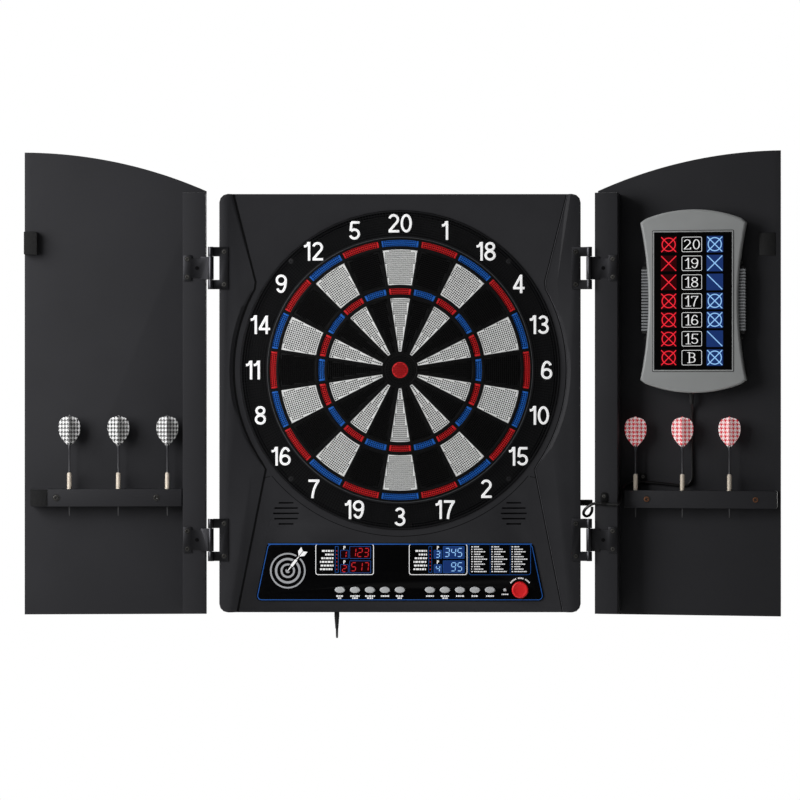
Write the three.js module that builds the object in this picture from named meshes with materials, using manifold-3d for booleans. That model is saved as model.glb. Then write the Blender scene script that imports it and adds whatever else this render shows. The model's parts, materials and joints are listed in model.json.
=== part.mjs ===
// Electronic dartboard in a housing with two cabinet doors, both standing open.
// Millimetres, +Z up, +X to the right as one faces the board, and +Y into the wall.
// The origin is the bull's axis on the wall plane, so the whole board has negative Y.
import * as THREE from 'three';
import { mergeVertices } from 'three/addons/utils/BufferGeometryUtils.js';
import Module from 'manifold-3d';

const wasm = await Module();
wasm.setup();

// ---------- driving dimensions ----------

const GAP = 0.3; // between pieces that touch
const ROUND = 60; // sides of the target's large circles

const HOUSING = { halfWidth: 273.5, bottom: -367, top: 266.6, corner: 13, wall: 3 };
const BEZEL_FRONT = -58;
const BEZEL_BACK = BEZEL_FRONT + HOUSING.wall;
const CHEEK_FRONT = -62;
const COVER_FRONT = -36;
const COVER_BACK = COVER_FRONT + 3;
const DISH_FRONT = -43; // the back cover's dish, which backs the target
const DISH_RADIUS = 236;

// The target: each ring of segments runs from one radius to the other.
const RINGS = [
  { name: 'double_ring', inner: 188, outer: 197, steps: 2, carrier: [186.5, 198.5] },
  { name: 'outer_single_ring', inner: 129.4, outer: 182.6, steps: 2, carrier: [128, 184] },
  { name: 'triple_ring', inner: 115, outer: 123.7, steps: 2, carrier: [113.5, 125.5] },
  { name: 'inner_single_ring', inner: 28, outer: 109, steps: 2, carrier: [27, 110.5] },
];
const SECTORS = 20;
const RAY_HALF_GAP = 2.35; // from a segment's side to the ray between two numbers
const WEB_CLEARANCE = 0.5;
const OUTER_BULL_RADIUS = 24;
const INNER_BULL_RADIUS = 12;
const SPIDER_FRONT = -60;
const SPIDER_BACK = -50;
const SPIDER_RADIUS = 199.6;
const SEGMENT_FRONT = -59;
const CARRIER_FRONT = SPIDER_BACK + 0.4;
const CARRIER_BACK = CARRIER_FRONT + 2;
const PRESS_ROOM = 1.6; // behind the outer bull's step, so that it can be pressed on its own
const MAT_FRONT = -46;
const RING_INNER = 200.2;
const RING_OUTER = 241.6;
const BEZEL_HOLE = 242.4;

// The control panel.
const OVERLAY = { top: -262.1, bottom: -350.1, halfTop: 201.6, halfBottom: 219.3, corner: 8 };
const OVERLAY_FRONT = BEZEL_FRONT - 1.1;
const OVERLAY_BACK = BEZEL_FRONT - GAP;
const BUTTON_PITCH = 22.72;
const BUTTON_Z = -333;
const GAME_BUTTON_PLACES = [-4, -3, -2, -1, 0, 2, 3, 4, 5, 6];
const RESET_PLACE = 7;
const START_PLACE = 8;
const BUTTON_FRONT = -61.5;
const FLANGE_FRONT = BEZEL_BACK + 0.5;
const FLANGE_BACK = FLANGE_FRONT + 1.5;
const DISPLAY_X = 70.8;
const DISPLAY_Z = -287;
const SPEAKER_X = 172.6;
const SPEAKER_Z = -217.3;

// The doors, each in a frame of its own whose origin is the hinge axis: u runs from the axis
// to the free edge, w runs away from the viewer, and the door is flat open.
const AXIS_X = 286;
const AXIS_Y = -66.5;
const DOOR_REACH = 285.2;
const RAIL = { near: 8, far: 42.5, front: 4.5, bottom: -369, top: 268.4 };
const PANEL = { front: 52.5, back: 64.5, bottom: -373, hingeTop: 274.5, freeTop: 332.5 };
const DOORS = {
  left: { side: -1, ajar: 2.5 },
  right: { side: 1, ajar: 10 },
};
const HINGE_Z = { upper: 154.1, lower: -257 };
const KNUCKLE_RADIUS = 4.4;
const BARREL_HALF = 32;
const MIDDLE_HALF = 17.3;
const PIN_RADIUS = 1.5;
const PLATE = 1.6;

// The dart racks and the darts in them.
const RACK = { depth: 24.7, height: 26.5, length: 229, hole: 4.7, step: 16.3, tipHole: 2.9 };
const RACKS = {
  left: { start: 45, top: -180.8, darts: [67, 141.4, 215.6] },
  right: { start: 50.5, top: -182.6, darts: [67.3, 138.2, 209.1] },
};
const DART_W = 33.5;
const DART = { length: 153.5, step: 25, barrelTop: 66, flightBottom: 107, halfSpan: 16.5 };

// The scoreboard on the right door.
const SCOREBOARD = { u: 155, z: 104, halfWidth: 80, waist: 67.7, halfHeight: 138.7, shoulder: 125 };
const SCOREBOARD_FRONT = 20.2;
const SCREEN = { width: 117, height: 208, recess: 2 };

// The two leads.
const LEAD_RADIUS = 2.25;
const POWER = { x: -96, y: -44, radius: 1.6, turn: 11.5, reliefEnd: -393, turnZ: -395.5 };
const COIL = { mean: 17.66, half: 6.55 };

// ---------- finishes ----------

function finish(colour, roughness, metalness = 0) {
  return new THREE.MeshStandardMaterial({ color: colour, roughness, metalness });
}

const GRAINED = finish(0x2c2c2e, 0.62);
const DOOR_BLACK = finish(0x2a2a2c, 0.7);
const RING_BLACK = finish(0x1c1c1e, 0.55);
const OVERLAY_BLACK = finish(0x060607, 0.2);
const RUBBER = finish(0x151515, 0.9);
const FILM = finish(0xb9a46a, 0.4);
const BOARD_GREEN = finish(0x1d5a34, 0.5);
const LCD = finish(0x24314e, 0.25);
const STEEL = finish(0x4b4b4e, 0.35, 0.9);
const BARREL_STEEL = finish(0xc0b8ad, 0.3, 1);
const SILVER = finish(0x9a9a98, 0.45, 0.4);
const SEGMENT_BLUE = finish(0x1b4a86, 0.5);
const SEGMENT_WHITE = finish(0xe4e4e0, 0.5);
const SEGMENT_RED = finish(0xa8191d, 0.5);
const SEGMENT_BLACK = finish(0x121213, 0.5);
const BUTTON_GREY = finish(0xa3a6aa, 0.5);
const START_RED = finish(0xc42023, 0.4);

// ---------- outlines: lists of [x, z], or [u, z] on a door ----------

const RAD = Math.PI / 180;

function arc(radius, from, to, steps, x = 0, z = 0) {
  const points = [];
  for (let i = 0; i <= steps; i++) {
    const angle = (from + ((to - from) * i) / steps) * RAD;
    points.push([x + radius * Math.cos(angle), z + radius * Math.sin(angle)]);
  }
  return points;
}

function circle(radius, sides, x = 0, z = 0) {
  return arc(radius, 0, 360, sides, x, z).slice(0, -1);
}

function rectangle(x0, z0, x1, z1) {
  return [[x0, z0], [x1, z0], [x1, z1], [x0, z1]];
}

// A rectangle or other convex outline, with each corner cut by a small arc.
function rounded(corners, radius, steps = 3) {
  const points = [];
  corners.forEach((corner, i) => {
    const before = new THREE.Vector2(...corners.at(i - 1));
    const after = new THREE.Vector2(...corners[(i + 1) % corners.length]);
    const here = new THREE.Vector2(...corner);
    const back = before.sub(here).normalize();
    const on = after.sub(here).normalize();
    const half = Math.acos(back.dot(on)) / 2;
    const toCentre = back.clone().add(on).normalize().multiplyScalar(radius / Math.sin(half));
    const centre = here.clone().add(toCentre);
    const start = back.clone().multiplyScalar(radius / Math.tan(half)).add(here).sub(centre);
    const end = on.clone().multiplyScalar(radius / Math.tan(half)).add(here).sub(centre);
    let turn = end.angle() - start.angle();
    if (turn > Math.PI) turn -= 2 * Math.PI;
    if (turn < -Math.PI) turn += 2 * Math.PI;
    for (let k = 0; k <= steps; k++) {
      const angle = start.angle() + (turn * k) / steps;
      points.push([centre.x + radius * Math.cos(angle), centre.y + radius * Math.sin(angle)]);
    }
  });
  return points;
}

// One cell of the target: a wedge between two radii, its sides a fixed distance from the rays.
function wedge(inner, outer, sideGap, centre, steps) {
  const half = (radius) => 180 / SECTORS - Math.asin(sideGap / radius) / RAD;
  const wide = half(outer);
  const narrow = half(inner);
  const outside = arc(outer, centre - wide, centre + wide, steps);
  const inside = arc(inner, centre + narrow, centre - narrow, Math.max(1, steps - 1));
  return [...outside, ...inside];
}

function sectorAngle(index) {
  return 90 - (index * 360) / SECTORS;
}

// ---------- solids ----------

function shapeOf(outline, holes = []) {
  const shape = new THREE.Shape(outline.map((p) => new THREE.Vector2(...p)));
  shape.holes = holes.map((hole) => new THREE.Path(hole.map((p) => new THREE.Vector2(...p))));
  return shape;
}

// An outline in the X-Z plane, filled from y = front to y = back.
function prism(outline, front, back, holes = []) {
  const settings = { depth: back - front, bevelEnabled: false, steps: 1 };
  const geometry = new THREE.ExtrudeGeometry(shapeOf(outline, holes), settings);
  return geometry.rotateX(Math.PI / 2).translate(0, back, 0);
}

// An outline in the X-Y plane, filled from z = bottom to z = top.
function column(outline, bottom, top) {
  const settings = { depth: top - bottom, bevelEnabled: false, steps: 1 };
  return new THREE.ExtrudeGeometry(shapeOf(outline), settings).translate(0, 0, bottom);
}

function block(x0, x1, y0, y1, z0, z1) {
  return prism(rectangle(Math.min(x0, x1), z0, Math.max(x0, x1), z1), y0, y1);
}

// A profile of [radius, height] points turned about Z, or about Y for a piece of the target.
function turned(profile, sides) {
  const points = profile.map((p) => new THREE.Vector2(...p));
  return new THREE.LatheGeometry(points, sides).rotateX(Math.PI / 2);
}

function turnedAboutY(profile, sides) {
  const points = profile.map((p) => new THREE.Vector2(...p));
  return new THREE.LatheGeometry(points, sides);
}

function solid(geometry) {
  const bare = geometry.clone();
  bare.deleteAttribute('normal');
  bare.deleteAttribute('uv');
  const merged = mergeVertices(bare, 1e-3);
  const mesh = new wasm.Mesh({
    numProp: 3,
    vertProperties: Float32Array.from(merged.attributes.position.array),
    triVerts: Uint32Array.from(merged.index.array),
  });
  return new wasm.Manifold(mesh);
}

function surface(body) {
  const mesh = body.getMesh();
  const geometry = new THREE.BufferGeometry();
  geometry.setAttribute('position', new THREE.BufferAttribute(mesh.vertProperties, 3));
  geometry.setIndex(new THREE.BufferAttribute(mesh.triVerts, 1));
  return geometry;
}

function joined(geometries) {
  return surface(geometries.map(solid).reduce((all, next) => all.add(next)));
}

function cut(geometry, tools) {
  return surface(tools.map(solid).reduce((left, tool) => left.subtract(tool), solid(geometry)));
}

// A closed body between two counter-clockwise outlines with equally many points.
function loft(frontOutline, front, backOutline, back) {
  const count = frontOutline.length;
  const positions = [];
  for (const [x, z] of frontOutline) positions.push(x, front, z);
  for (const [x, z] of backOutline) positions.push(x, back, z);
  const lid = (outline) => {
    return THREE.ShapeUtils.triangulateShape(outline.map((p) => new THREE.Vector2(...p)), []);
  };
  const faces = [];
  for (const [a, b, c] of lid(frontOutline)) faces.push(a, b, c);
  for (const [a, b, c] of lid(backOutline)) faces.push(a + count, c + count, b + count);
  for (let i = 0; i < count; i++) {
    const next = (i + 1) % count;
    faces.push(i, i + count, next);
    faces.push(next, i + count, next + count);
  }
  const geometry = new THREE.BufferGeometry();
  geometry.setAttribute('position', new THREE.Float32BufferAttribute(positions, 3));
  geometry.setIndex(faces);
  return geometry;
}

function tube(points, radius, sides, steps) {
  const path = new THREE.CatmullRomCurve3(points.map((p) => new THREE.Vector3(...p)));
  const section = new THREE.Shape(circle(radius, sides).map((p) => new THREE.Vector2(...p)));
  return new THREE.ExtrudeGeometry(section, { steps, extrudePath: path, bevelEnabled: false });
}

function piece(parent, name, geometry, material) {
  const mesh = new THREE.Mesh(geometry, material);
  mesh.name = name;
  parent.add(mesh);
}

// ---------- housing ----------

function bodyOutline(inset) {
  const { halfWidth, bottom, top, corner } = HOUSING;
  const wide = halfWidth - inset;
  const corners = rectangle(-wide, bottom + inset, wide, top - inset);
  return rounded(corners, Math.max(corner - inset, 2));
}

// The raised cheek at each side. Its inner edge follows the target and flares away from it
// above and below; the flank slopes down from the smaller front outline to the bezel.
function cheek(side) {
  const { halfWidth, bottom, top } = HOUSING;
  const outerEdge = rounded(
    [[halfWidth, bottom], [halfWidth, top], [200, top], [200, bottom]], HOUSING.corner,
  ).slice(0, 8);
  const edge = (topX, cornerTop, inner, cornerBottom, bottomX) => {
    const points = [...outerEdge, [topX, top], cornerTop, ...inner, cornerBottom, [bottomX, bottom]];
    return side > 0 ? points : points.map(([x, z]) => [-x, z]).reverse();
  };
  const base = edge(252.7, [219.5, 133.5], arc(252.5, 29, -34, 9), [204, -150.5], 246.6);
  const crest = edge(258.2, [238, 135], arc(258.5, 22, -27, 9), [224, -149], 254);
  return loft(crest, CHEEK_FRONT, base, BEZEL_FRONT + 1);
}

function speakerSlots(side) {
  const reach = 19.5;
  return [-16, -8, 0, 8, 16].map((rise) => {
    const half = Math.sqrt(reach ** 2 - rise ** 2);
    const x = side * SPEAKER_X;
    const z = SPEAKER_Z + rise;
    return block(x - half, x + half, BEZEL_FRONT - 1, BEZEL_BACK + 1, z - 1.2, z + 1.2);
  });
}

function ovalButton(x, grow) {
  const corners = rectangle(x - 7.8 - grow, BUTTON_Z - 4.35 - grow, x + 7.8 + grow, BUTTON_Z + 4.35 + grow);
  return rounded(corners, 3.9 + grow, 2);
}

function buttonHoles(front, back) {
  const clear = 0.6;
  const ovals = GAME_BUTTON_PLACES.map((k) => ovalButton(k * BUTTON_PITCH, clear));
  const reset = circle(2.5 + clear, 10, RESET_PLACE * BUTTON_PITCH, BUTTON_Z);
  const start = circle(12.5 + clear, 18, START_PLACE * BUTTON_PITCH, BUTTON_Z);
  return [...ovals, reset, start].map((outline) => prism(outline, front, back));
}

// A tab across each upper corner of the rear rim, with a keyhole for a wall screw.
const KEYHOLE = { x: 243, z: 236, head: 5, slot: 2.6, rise: 9, tab: 4 };

function hangingTab(side) {
  const inner = HOUSING.halfWidth - 2;
  const top = HOUSING.top - 2;
  const corners = [[inner, top], [inner - 62, top], [inner, top - 62]];
  return prism(corners.map(([x, z]) => [side * x, z]), -KEYHOLE.tab, 0);
}

function keyhole(side) {
  const x = side * KEYHOLE.x;
  const head = prism(circle(KEYHOLE.head, 12, x, KEYHOLE.z), -6, 1);
  const slot = block(x - KEYHOLE.slot, x + KEYHOLE.slot, -6, 1, KEYHOLE.z, KEYHOLE.z + KEYHOLE.rise);
  return [head, slot];
}

function housingShell() {
  const bottom = HOUSING.bottom;
  const shell = cut(prism(bodyOutline(0), BEZEL_FRONT, 0), [
    prism(bodyOutline(HOUSING.wall), BEZEL_BACK, 1),
    prism(circle(BEZEL_HOLE, ROUND), BEZEL_FRONT - 1, BEZEL_BACK + 1),
  ]);
  const trimmed = [cheek(-1), cheek(1), hangingTab(-1), hangingTab(1)];
  const windows = [-1, 1].map((side) => {
    const x = side * DISPLAY_X;
    return block(x - 44, x + 44, BEZEL_FRONT - 1, BEZEL_BACK + 1, DISPLAY_Z - 21, DISPLAY_Z + 21);
  });
  return cut(joined([shell, ...trimmed]), [
    ...windows,
    ...buttonHoles(BEZEL_FRONT - 1, BEZEL_BACK + 1),
    ...speakerSlots(-1),
    ...speakerSlots(1),
    ...keyhole(-1),
    ...keyhole(1),
    prism(circle(BEZEL_HOLE, ROUND), CHEEK_FRONT - 1, BEZEL_BACK + 1),
    column(circle(4.5, 12, POWER.x, POWER.y), bottom - 1, bottom + 5),
    block(POWER.x - 5, POWER.x + 5, -27, 1, bottom - 1, bottom + 5),
    block(265, 280, -49, -37, -207, -196),
  ]);
}

// The back cover: a flat frame, a dish behind the target, and a hollow boss out to the wall.
const BOSS_HALF = 40;
const DISH_SIDES = 40;

function backCover() {
  const dishWall = 3;
  const frame = prism(bodyOutline(HOUSING.wall + 0.6), COVER_FRONT, COVER_BACK);
  const hole = prism(circle(DISH_RADIUS - dishWall, DISH_SIDES), COVER_FRONT - 1, COVER_BACK + 1);
  const wall = turnedAboutY([
    [DISH_RADIUS - dishWall - 0.5, DISH_FRONT], [DISH_RADIUS, DISH_FRONT],
    [DISH_RADIUS, COVER_BACK], [DISH_RADIUS - dishWall - 0.5, COVER_BACK],
    [DISH_RADIUS - dishWall - 0.5, DISH_FRONT],
  ], DISH_SIDES);
  const dish = prism(circle(DISH_RADIUS, DISH_SIDES), DISH_FRONT, DISH_FRONT + dishWall);
  const square = (half) => rectangle(-half, -half, half, half);
  const boss = prism(square(BOSS_HALF), DISH_FRONT, 0);
  const hollow = prism(square(BOSS_HALF - dishWall), DISH_FRONT - 1, -dishWall);
  return cut(joined([cut(frame, [hole]), wall, dish, boss]), [hollow]);
}

// ---------- target ----------

function ringSegments({ inner, outer, steps, carrier }) {
  const segments = [];
  for (let k = 0; k < SECTORS; k++) {
    const outline = wedge(inner, outer, RAY_HALF_GAP, sectorAngle(k), steps);
    segments.push(prism(outline, SEGMENT_FRONT, CARRIER_BACK));
  }
  const sides = SECTORS * steps;
  const back = prism(circle(carrier[1], sides), CARRIER_FRONT, CARRIER_BACK, [circle(carrier[0], sides)]);
  return joined([back, ...segments]);
}

function spiderFrame() {
  const cells = [];
  for (const { inner, outer, steps } of RINGS) {
    for (let k = 0; k < SECTORS; k++) {
      const sideGap = RAY_HALF_GAP - WEB_CLEARANCE;
      const outline = wedge(inner - WEB_CLEARANCE, outer + WEB_CLEARANCE, sideGap, sectorAngle(k), steps);
      cells.push(prism(outline, SPIDER_FRONT - 1, SPIDER_BACK + 1));
    }
  }
  const bull = prism(circle(OUTER_BULL_RADIUS + WEB_CLEARANCE, 20), SPIDER_FRONT - 1, SPIDER_BACK + 1);
  return cut(prism(circle(SPIDER_RADIUS, ROUND), SPIDER_FRONT, SPIDER_BACK), [...cells, bull]);
}

function outerBull() {
  const bore = INNER_BULL_RADIUS + 0.6;
  return turnedAboutY([
    [bore, SEGMENT_FRONT], [OUTER_BULL_RADIUS, SEGMENT_FRONT],
    [OUTER_BULL_RADIUS, CARRIER_FRONT], [26, CARRIER_FRONT],
    [26, CARRIER_BACK], [15, CARRIER_BACK],
    [15, CARRIER_FRONT - PRESS_ROOM], [bore, CARRIER_FRONT - PRESS_ROOM],
    [bore, SEGMENT_FRONT],
  ], 20);
}

function innerBull() {
  return turnedAboutY([
    [0, SEGMENT_FRONT - 0.6], [INNER_BULL_RADIUS, SEGMENT_FRONT - 0.6],
    [INNER_BULL_RADIUS, CARRIER_FRONT], [14.3, CARRIER_FRONT],
    [14.3, CARRIER_BACK], [0, CARRIER_BACK],
  ], 20);
}

// The number ring: a channel that catches stray darts, with a flange behind the bezel.
function catchRing() {
  const front = SPIDER_FRONT;
  const rim = 2;
  const back = MAT_FRONT - 1;
  const flange = [RING_OUTER + 8, BEZEL_BACK + 0.5];
  const ring = turnedAboutY([
    [RING_INNER, front], [RING_OUTER, front],
    [RING_OUTER, flange[1]], flange,
    [flange[0], flange[1] + rim], [RING_OUTER, flange[1] + rim],
    [RING_OUTER, back], [RING_OUTER - rim, back],
    [RING_OUTER - rim, front + 3], [RING_INNER, front + 3],
    [RING_INNER, front],
  ], ROUND);
  const screws = [45, 135, 225, 315].map((angle) => {
    const [x, z] = arc(233, angle, angle, 1)[0];
    return prism(circle(1.8, 8, x, z), front - 1, front + 4);
  });
  return cut(ring, screws);
}

function sensorMembrane() {
  const front = MAT_FRONT + 2 + GAP;
  const disc = prism(circle(232, DISH_SIDES), front, front + 0.4);
  const tail = block(-18, 18, front, front + 0.4, -270, -225);
  return joined([disc, tail]);
}

function addTarget(parent) {
  const colours = [SEGMENT_BLUE, SEGMENT_WHITE, SEGMENT_RED, SEGMENT_WHITE];
  RINGS.forEach((ring, i) => piece(parent, ring.name, ringSegments(ring), colours[i]));
  piece(parent, 'outer_bull', outerBull(), SEGMENT_BLACK);
  piece(parent, 'inner_bull', innerBull(), SEGMENT_RED);
  piece(parent, 'spider_frame', spiderFrame(), RING_BLACK);
  piece(parent, 'catch_ring', catchRing(), RING_BLACK);
  piece(parent, 'rubber_mat', prism(circle(234, DISH_SIDES), MAT_FRONT, MAT_FRONT + 2), RUBBER);
  piece(parent, 'sensor_membrane', sensorMembrane(), FILM);
}

// ---------- controls ----------

function controlOverlay() {
  const { top, bottom, halfTop, halfBottom, corner } = OVERLAY;
  const corners = [[-halfBottom, bottom], [halfBottom, bottom], [halfTop, top], [-halfTop, top]];
  const plate = prism(rounded(corners, corner), OVERLAY_FRONT, OVERLAY_BACK);
  const windows = [-1, 1].map((side) => {
    const x = side * DISPLAY_X;
    return block(x - 28, x + 28, OVERLAY_FRONT - 1, OVERLAY_BACK + 1, DISPLAY_Z - 19.5, DISPLAY_Z + 19.5);
  });
  return cut(plate, [...windows, ...buttonHoles(OVERLAY_FRONT - 1, OVERLAY_BACK + 1)]);
}

function display(side) {
  const x = side * DISPLAY_X;
  return block(x - 43, x + 43, OVERLAY_BACK + GAP, -49, DISPLAY_Z - 20, DISPLAY_Z + 20);
}

function gameButton(x) {
  const cap = prism(ovalButton(x, 0), BUTTON_FRONT, FLANGE_BACK);
  const flange = prism(ovalButton(x, 1.8), FLANGE_FRONT, FLANGE_BACK);
  return joined([cap, flange]);
}

function roundButton(x, radius, dome, front) {
  const shifted = turnedAboutY([
    [0, front], [radius * 0.6, front + dome * 0.25], [radius, front + dome],
    [radius, FLANGE_FRONT], [radius + 1.8, FLANGE_FRONT],
    [radius + 1.8, FLANGE_BACK], [0, FLANGE_BACK],
  ], radius > 6 ? 18 : 10);
  return shifted.translate(x, 0, BUTTON_Z);
}

function speaker(side) {
  const front = BEZEL_BACK + GAP;
  const shape = turnedAboutY([
    [0, front + 4], [16, front], [24, front], [24, front + 2.5],
    [13, front + 9], [13, front + 16], [0, front + 16],
  ], 16);
  return shape.translate(side * SPEAKER_X, 0, SPEAKER_Z);
}

function mainBoard() {
  const front = -48.5;
  const board = block(-135, 200, front, front + 1.6, -352, -296);
  const processor = block(-20, 10, front + 1, front + 4.5, -330, -300);
  const header = block(-16, 16, front - 1, front + 5, -303, -298);
  const capacitor = block(60, 72, front + 1, front + 9, -322, -310);
  return joined([board, processor, header, capacitor]);
}

function addControls(parent) {
  piece(parent, 'control_overlay', controlOverlay(), OVERLAY_BLACK);
  piece(parent, 'score_display_left', display(-1), LCD);
  piece(parent, 'score_display_right', display(1), LCD);
  piece(parent, 'main_board', mainBoard(), BOARD_GREEN);
  piece(parent, 'speaker_left', speaker(-1), RING_BLACK);
  piece(parent, 'speaker_right', speaker(1), RING_BLACK);
  GAME_BUTTON_PLACES.forEach((place, i) => {
    piece(parent, `game_button_${i + 1}`, gameButton(place * BUTTON_PITCH), BUTTON_GREY);
  });
  const reset = roundButton(RESET_PLACE * BUTTON_PITCH, 2.5, 0.8, -60.6);
  piece(parent, 'reset_button', reset, BUTTON_GREY);
  const start = roundButton(START_PLACE * BUTTON_PITCH, 12.5, 2.6, -64);
  piece(parent, 'start_button', start, START_RED);
}

// ---------- hinges ----------

// On the housing: a plate, two arms, the outer knuckles and the pin between them.
function hingeBracket(side, z) {
  const front = CHEEK_FRONT - GAP - PLATE;
  const back = CHEEK_FRONT - GAP;
  const parts = [block(side * 260, side * 272, front, back, z - BARREL_HALF, z + BARREL_HALF)];
  for (const end of [-1, 1]) {
    const z0 = z + (end > 0 ? MIDDLE_HALF + 0.5 : -BARREL_HALF);
    const z1 = z + (end > 0 ? BARREL_HALF : -MIDDLE_HALF - 0.5);
    parts.push(block(side * 270, side * (AXIS_X - 1), front, back, z0, z1));
    parts.push(column(circle(KNUCKLE_RADIUS, 12, side * AXIS_X, AXIS_Y), z0, z1));
  }
  const pin = circle(PIN_RADIUS, 8, side * AXIS_X, AXIS_Y);
  parts.push(column(pin, z - BARREL_HALF, z + BARREL_HALF));
  return joined(parts);
}

// On the door: the middle knuckle and a T-shaped leaf on the rail's front face.
function hingeLeaf(side, z) {
  const front = RAIL.front - GAP - PLATE;
  const back = RAIL.front - GAP;
  const arm = block(0, side * 15, front, back, z - MIDDLE_HALF, z + MIDDLE_HALF);
  const neck = block(side * 14, side * 30, front, back, z - 14.5, z + 14.5);
  const head = block(side * 29, side * 41.5, front, back, z - 19.5, z + 19.5);
  const knuckle = column(circle(KNUCKLE_RADIUS, 12), z - MIDDLE_HALF, z + MIDDLE_HALF);
  const bore = column(circle(PIN_RADIUS + 0.4, 8), z - BARREL_HALF, z + BARREL_HALF);
  return cut(joined([arm, neck, head, knuckle]), [bore]);
}

// ---------- doors ----------

function doorPanel(side) {
  const { front, back, bottom, hingeTop, freeTop } = PANEL;
  const width = DOOR_REACH - RAIL.near;
  const drop = freeTop - hingeTop;
  const radius = (width ** 2 + drop ** 2) / (2 * drop);
  const sweep = Math.asin(width / radius) / RAD;
  const top = arc(radius, 90, 90 + sweep, 10, DOOR_REACH, freeTop - radius);
  const outline = [[RAIL.near, bottom], [DOOR_REACH, bottom], ...top];
  return prism(outline.map(([u, z]) => [side * u, z]), front, back);
}

function doorRail(side) {
  return block(side * RAIL.near, side * RAIL.far, RAIL.front, PANEL.front - GAP, RAIL.bottom, RAIL.top);
}

// A bar with three upright holes, each stepped so that a dart's barrel stands on its edge.
function dartRack(side, { start, top, darts }) {
  const back = PANEL.front - GAP;
  const bottom = top - RACK.height;
  const bar = block(side * start, side * (start + RACK.length), back - RACK.depth, back, bottom, top);
  const holes = darts.flatMap((u) => [
    column(circle(RACK.hole, 12, side * u, DART_W), top - RACK.step, top + 1),
    column(circle(RACK.tipHole, 12, side * u, DART_W), bottom - 1, top),
  ]);
  return cut(bar, holes);
}

// Heights are above the dart's point.
function dart() {
  const { length, step, barrelTop, flightBottom, halfSpan } = DART;
  const core = turned([
    [0, 0], [0.9, 1], [2.1, step - 1], [2.5, step],
    [3.7, step + 7], [3.7, barrelTop - 2], [2.2, barrelTop],
    [1.9, length - 4], [0, length - 3],
  ], 8);
  const wing = [
    [0, flightBottom - 2], [halfSpan, flightBottom + 19], [halfSpan - 0.5, flightBottom + 34],
    [9, length], [0, length],
  ];
  const outline = [...wing, ...wing.slice(1, -1).reverse().map(([x, z]) => [-x, z])];
  const across = prism(outline, -0.45, 0.45);
  const toViewer = prism(outline, -0.45, 0.45).rotateZ(Math.PI / 2);
  return joined([core, across, toViewer]);
}

function addDarts(door, name, side, { top, darts }) {
  darts.forEach((u, i) => {
    const place = new THREE.Group();
    const pointZ = top - RACK.step + GAP - DART.step;
    place.position.set(side * u, DART_W, pointZ);
    piece(place, `dart_${name}_${i + 1}`, dart(), BARREL_STEEL);
    door.add(place);
  });
}

// ---------- scoreboard ----------

// Hollow sides and crowned ends, about the scoreboard's own centre.
function scoreboardOutline() {
  const { halfWidth, waist, halfHeight, shoulder } = SCOREBOARD;
  const bow = (chordHalf, rise) => (chordHalf ** 2 + rise ** 2) / (2 * rise);
  const crown = bow(halfWidth - 8, halfHeight - shoulder);
  const crownSweep = Math.asin((halfWidth - 8) / crown) / RAD;
  const hollow = bow(shoulder - 6, halfWidth - waist);
  const hollowSweep = Math.asin((shoulder - 6) / hollow) / RAD;
  const right = arc(hollow, 180 + hollowSweep, 180 - hollowSweep, 8, waist + hollow, 0);
  const top = arc(crown, 90 - crownSweep, 90 + crownSweep, 6, 0, halfHeight - crown);
  const turn = ([x, z]) => [-x, -z];
  return [...right, ...top, ...right.map(turn), ...top.map(turn)];
}

function scoreboardShell() {
  const { u, z } = SCOREBOARD;
  const back = PANEL.front - GAP;
  const outline = scoreboardOutline().map(([x, y]) => [x + u, y + z]);
  const face = [u - SCREEN.width / 2, u + SCREEN.width / 2];
  const rows = [z - SCREEN.height / 2, z + SCREEN.height / 2];
  return cut(prism(outline, SCOREBOARD_FRONT, back), [
    block(...face, SCOREBOARD_FRONT - 1, SCOREBOARD_FRONT + SCREEN.recess, ...rows),
    block(u - 60, u + 60, SCOREBOARD_FRONT + SCREEN.recess + 3, back + 1, z - 115, z + 115),
  ]);
}

function scoreboardLens() {
  const { u, z } = SCOREBOARD;
  const half = SCREEN.width / 2 - GAP;
  const tall = SCREEN.height / 2 - GAP;
  const back = SCOREBOARD_FRONT + SCREEN.recess - GAP;
  return block(u - half, u + half, SCOREBOARD_FRONT + 0.2, back, z - tall, z + tall);
}

// Points in the right door's frame: down the panel, over the rail and round to the housing.
function displayLead() {
  const bottom = SCOREBOARD.z - SCOREBOARD.halfHeight;
  const off = LEAD_RADIUS + 0.9;
  const onPanel = PANEL.front - off;
  const onRail = RAIL.front - off;
  const besideRail = RAIL.far + off;
  return tube([
    [151.6, 40, bottom - 0.6], [151.7, 43.5, bottom - 12], [151.8, onPanel, bottom - 30],
    [151.8, onPanel, -106], [152.4, onPanel, -150], [151.5, onPanel, -166],
    [144, onPanel, -175], [128, onPanel, -175], [104, onPanel, -172.5],
    [85, onPanel, -171], [68, onPanel, -170.5], [56, onPanel - 1, -173],
    [besideRail + 1.6, onPanel - 6, -179], [besideRail, onPanel - 20, -188],
    [besideRail, 14, -197], [besideRail - 0.2, 5.5, -200.8], [besideRail - 2, onRail + 0.8, -202.2],
    [besideRail - 6, onRail, -203],
    [31, onRail, -203], [20, onRail, -201.8], [9, onRail, -201.8],
    [1.5, onRail - 0.6, -204.5], [-6, 3, -210.5], [-9.5, 8.5, -217],
    [-7, 15, -221.5], [-2, 20, -220.5], [1.5, 23.5, -215], [2, 24.5, -207.8],
  ], LEAD_RADIUS, 8, 62);
}

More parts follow.
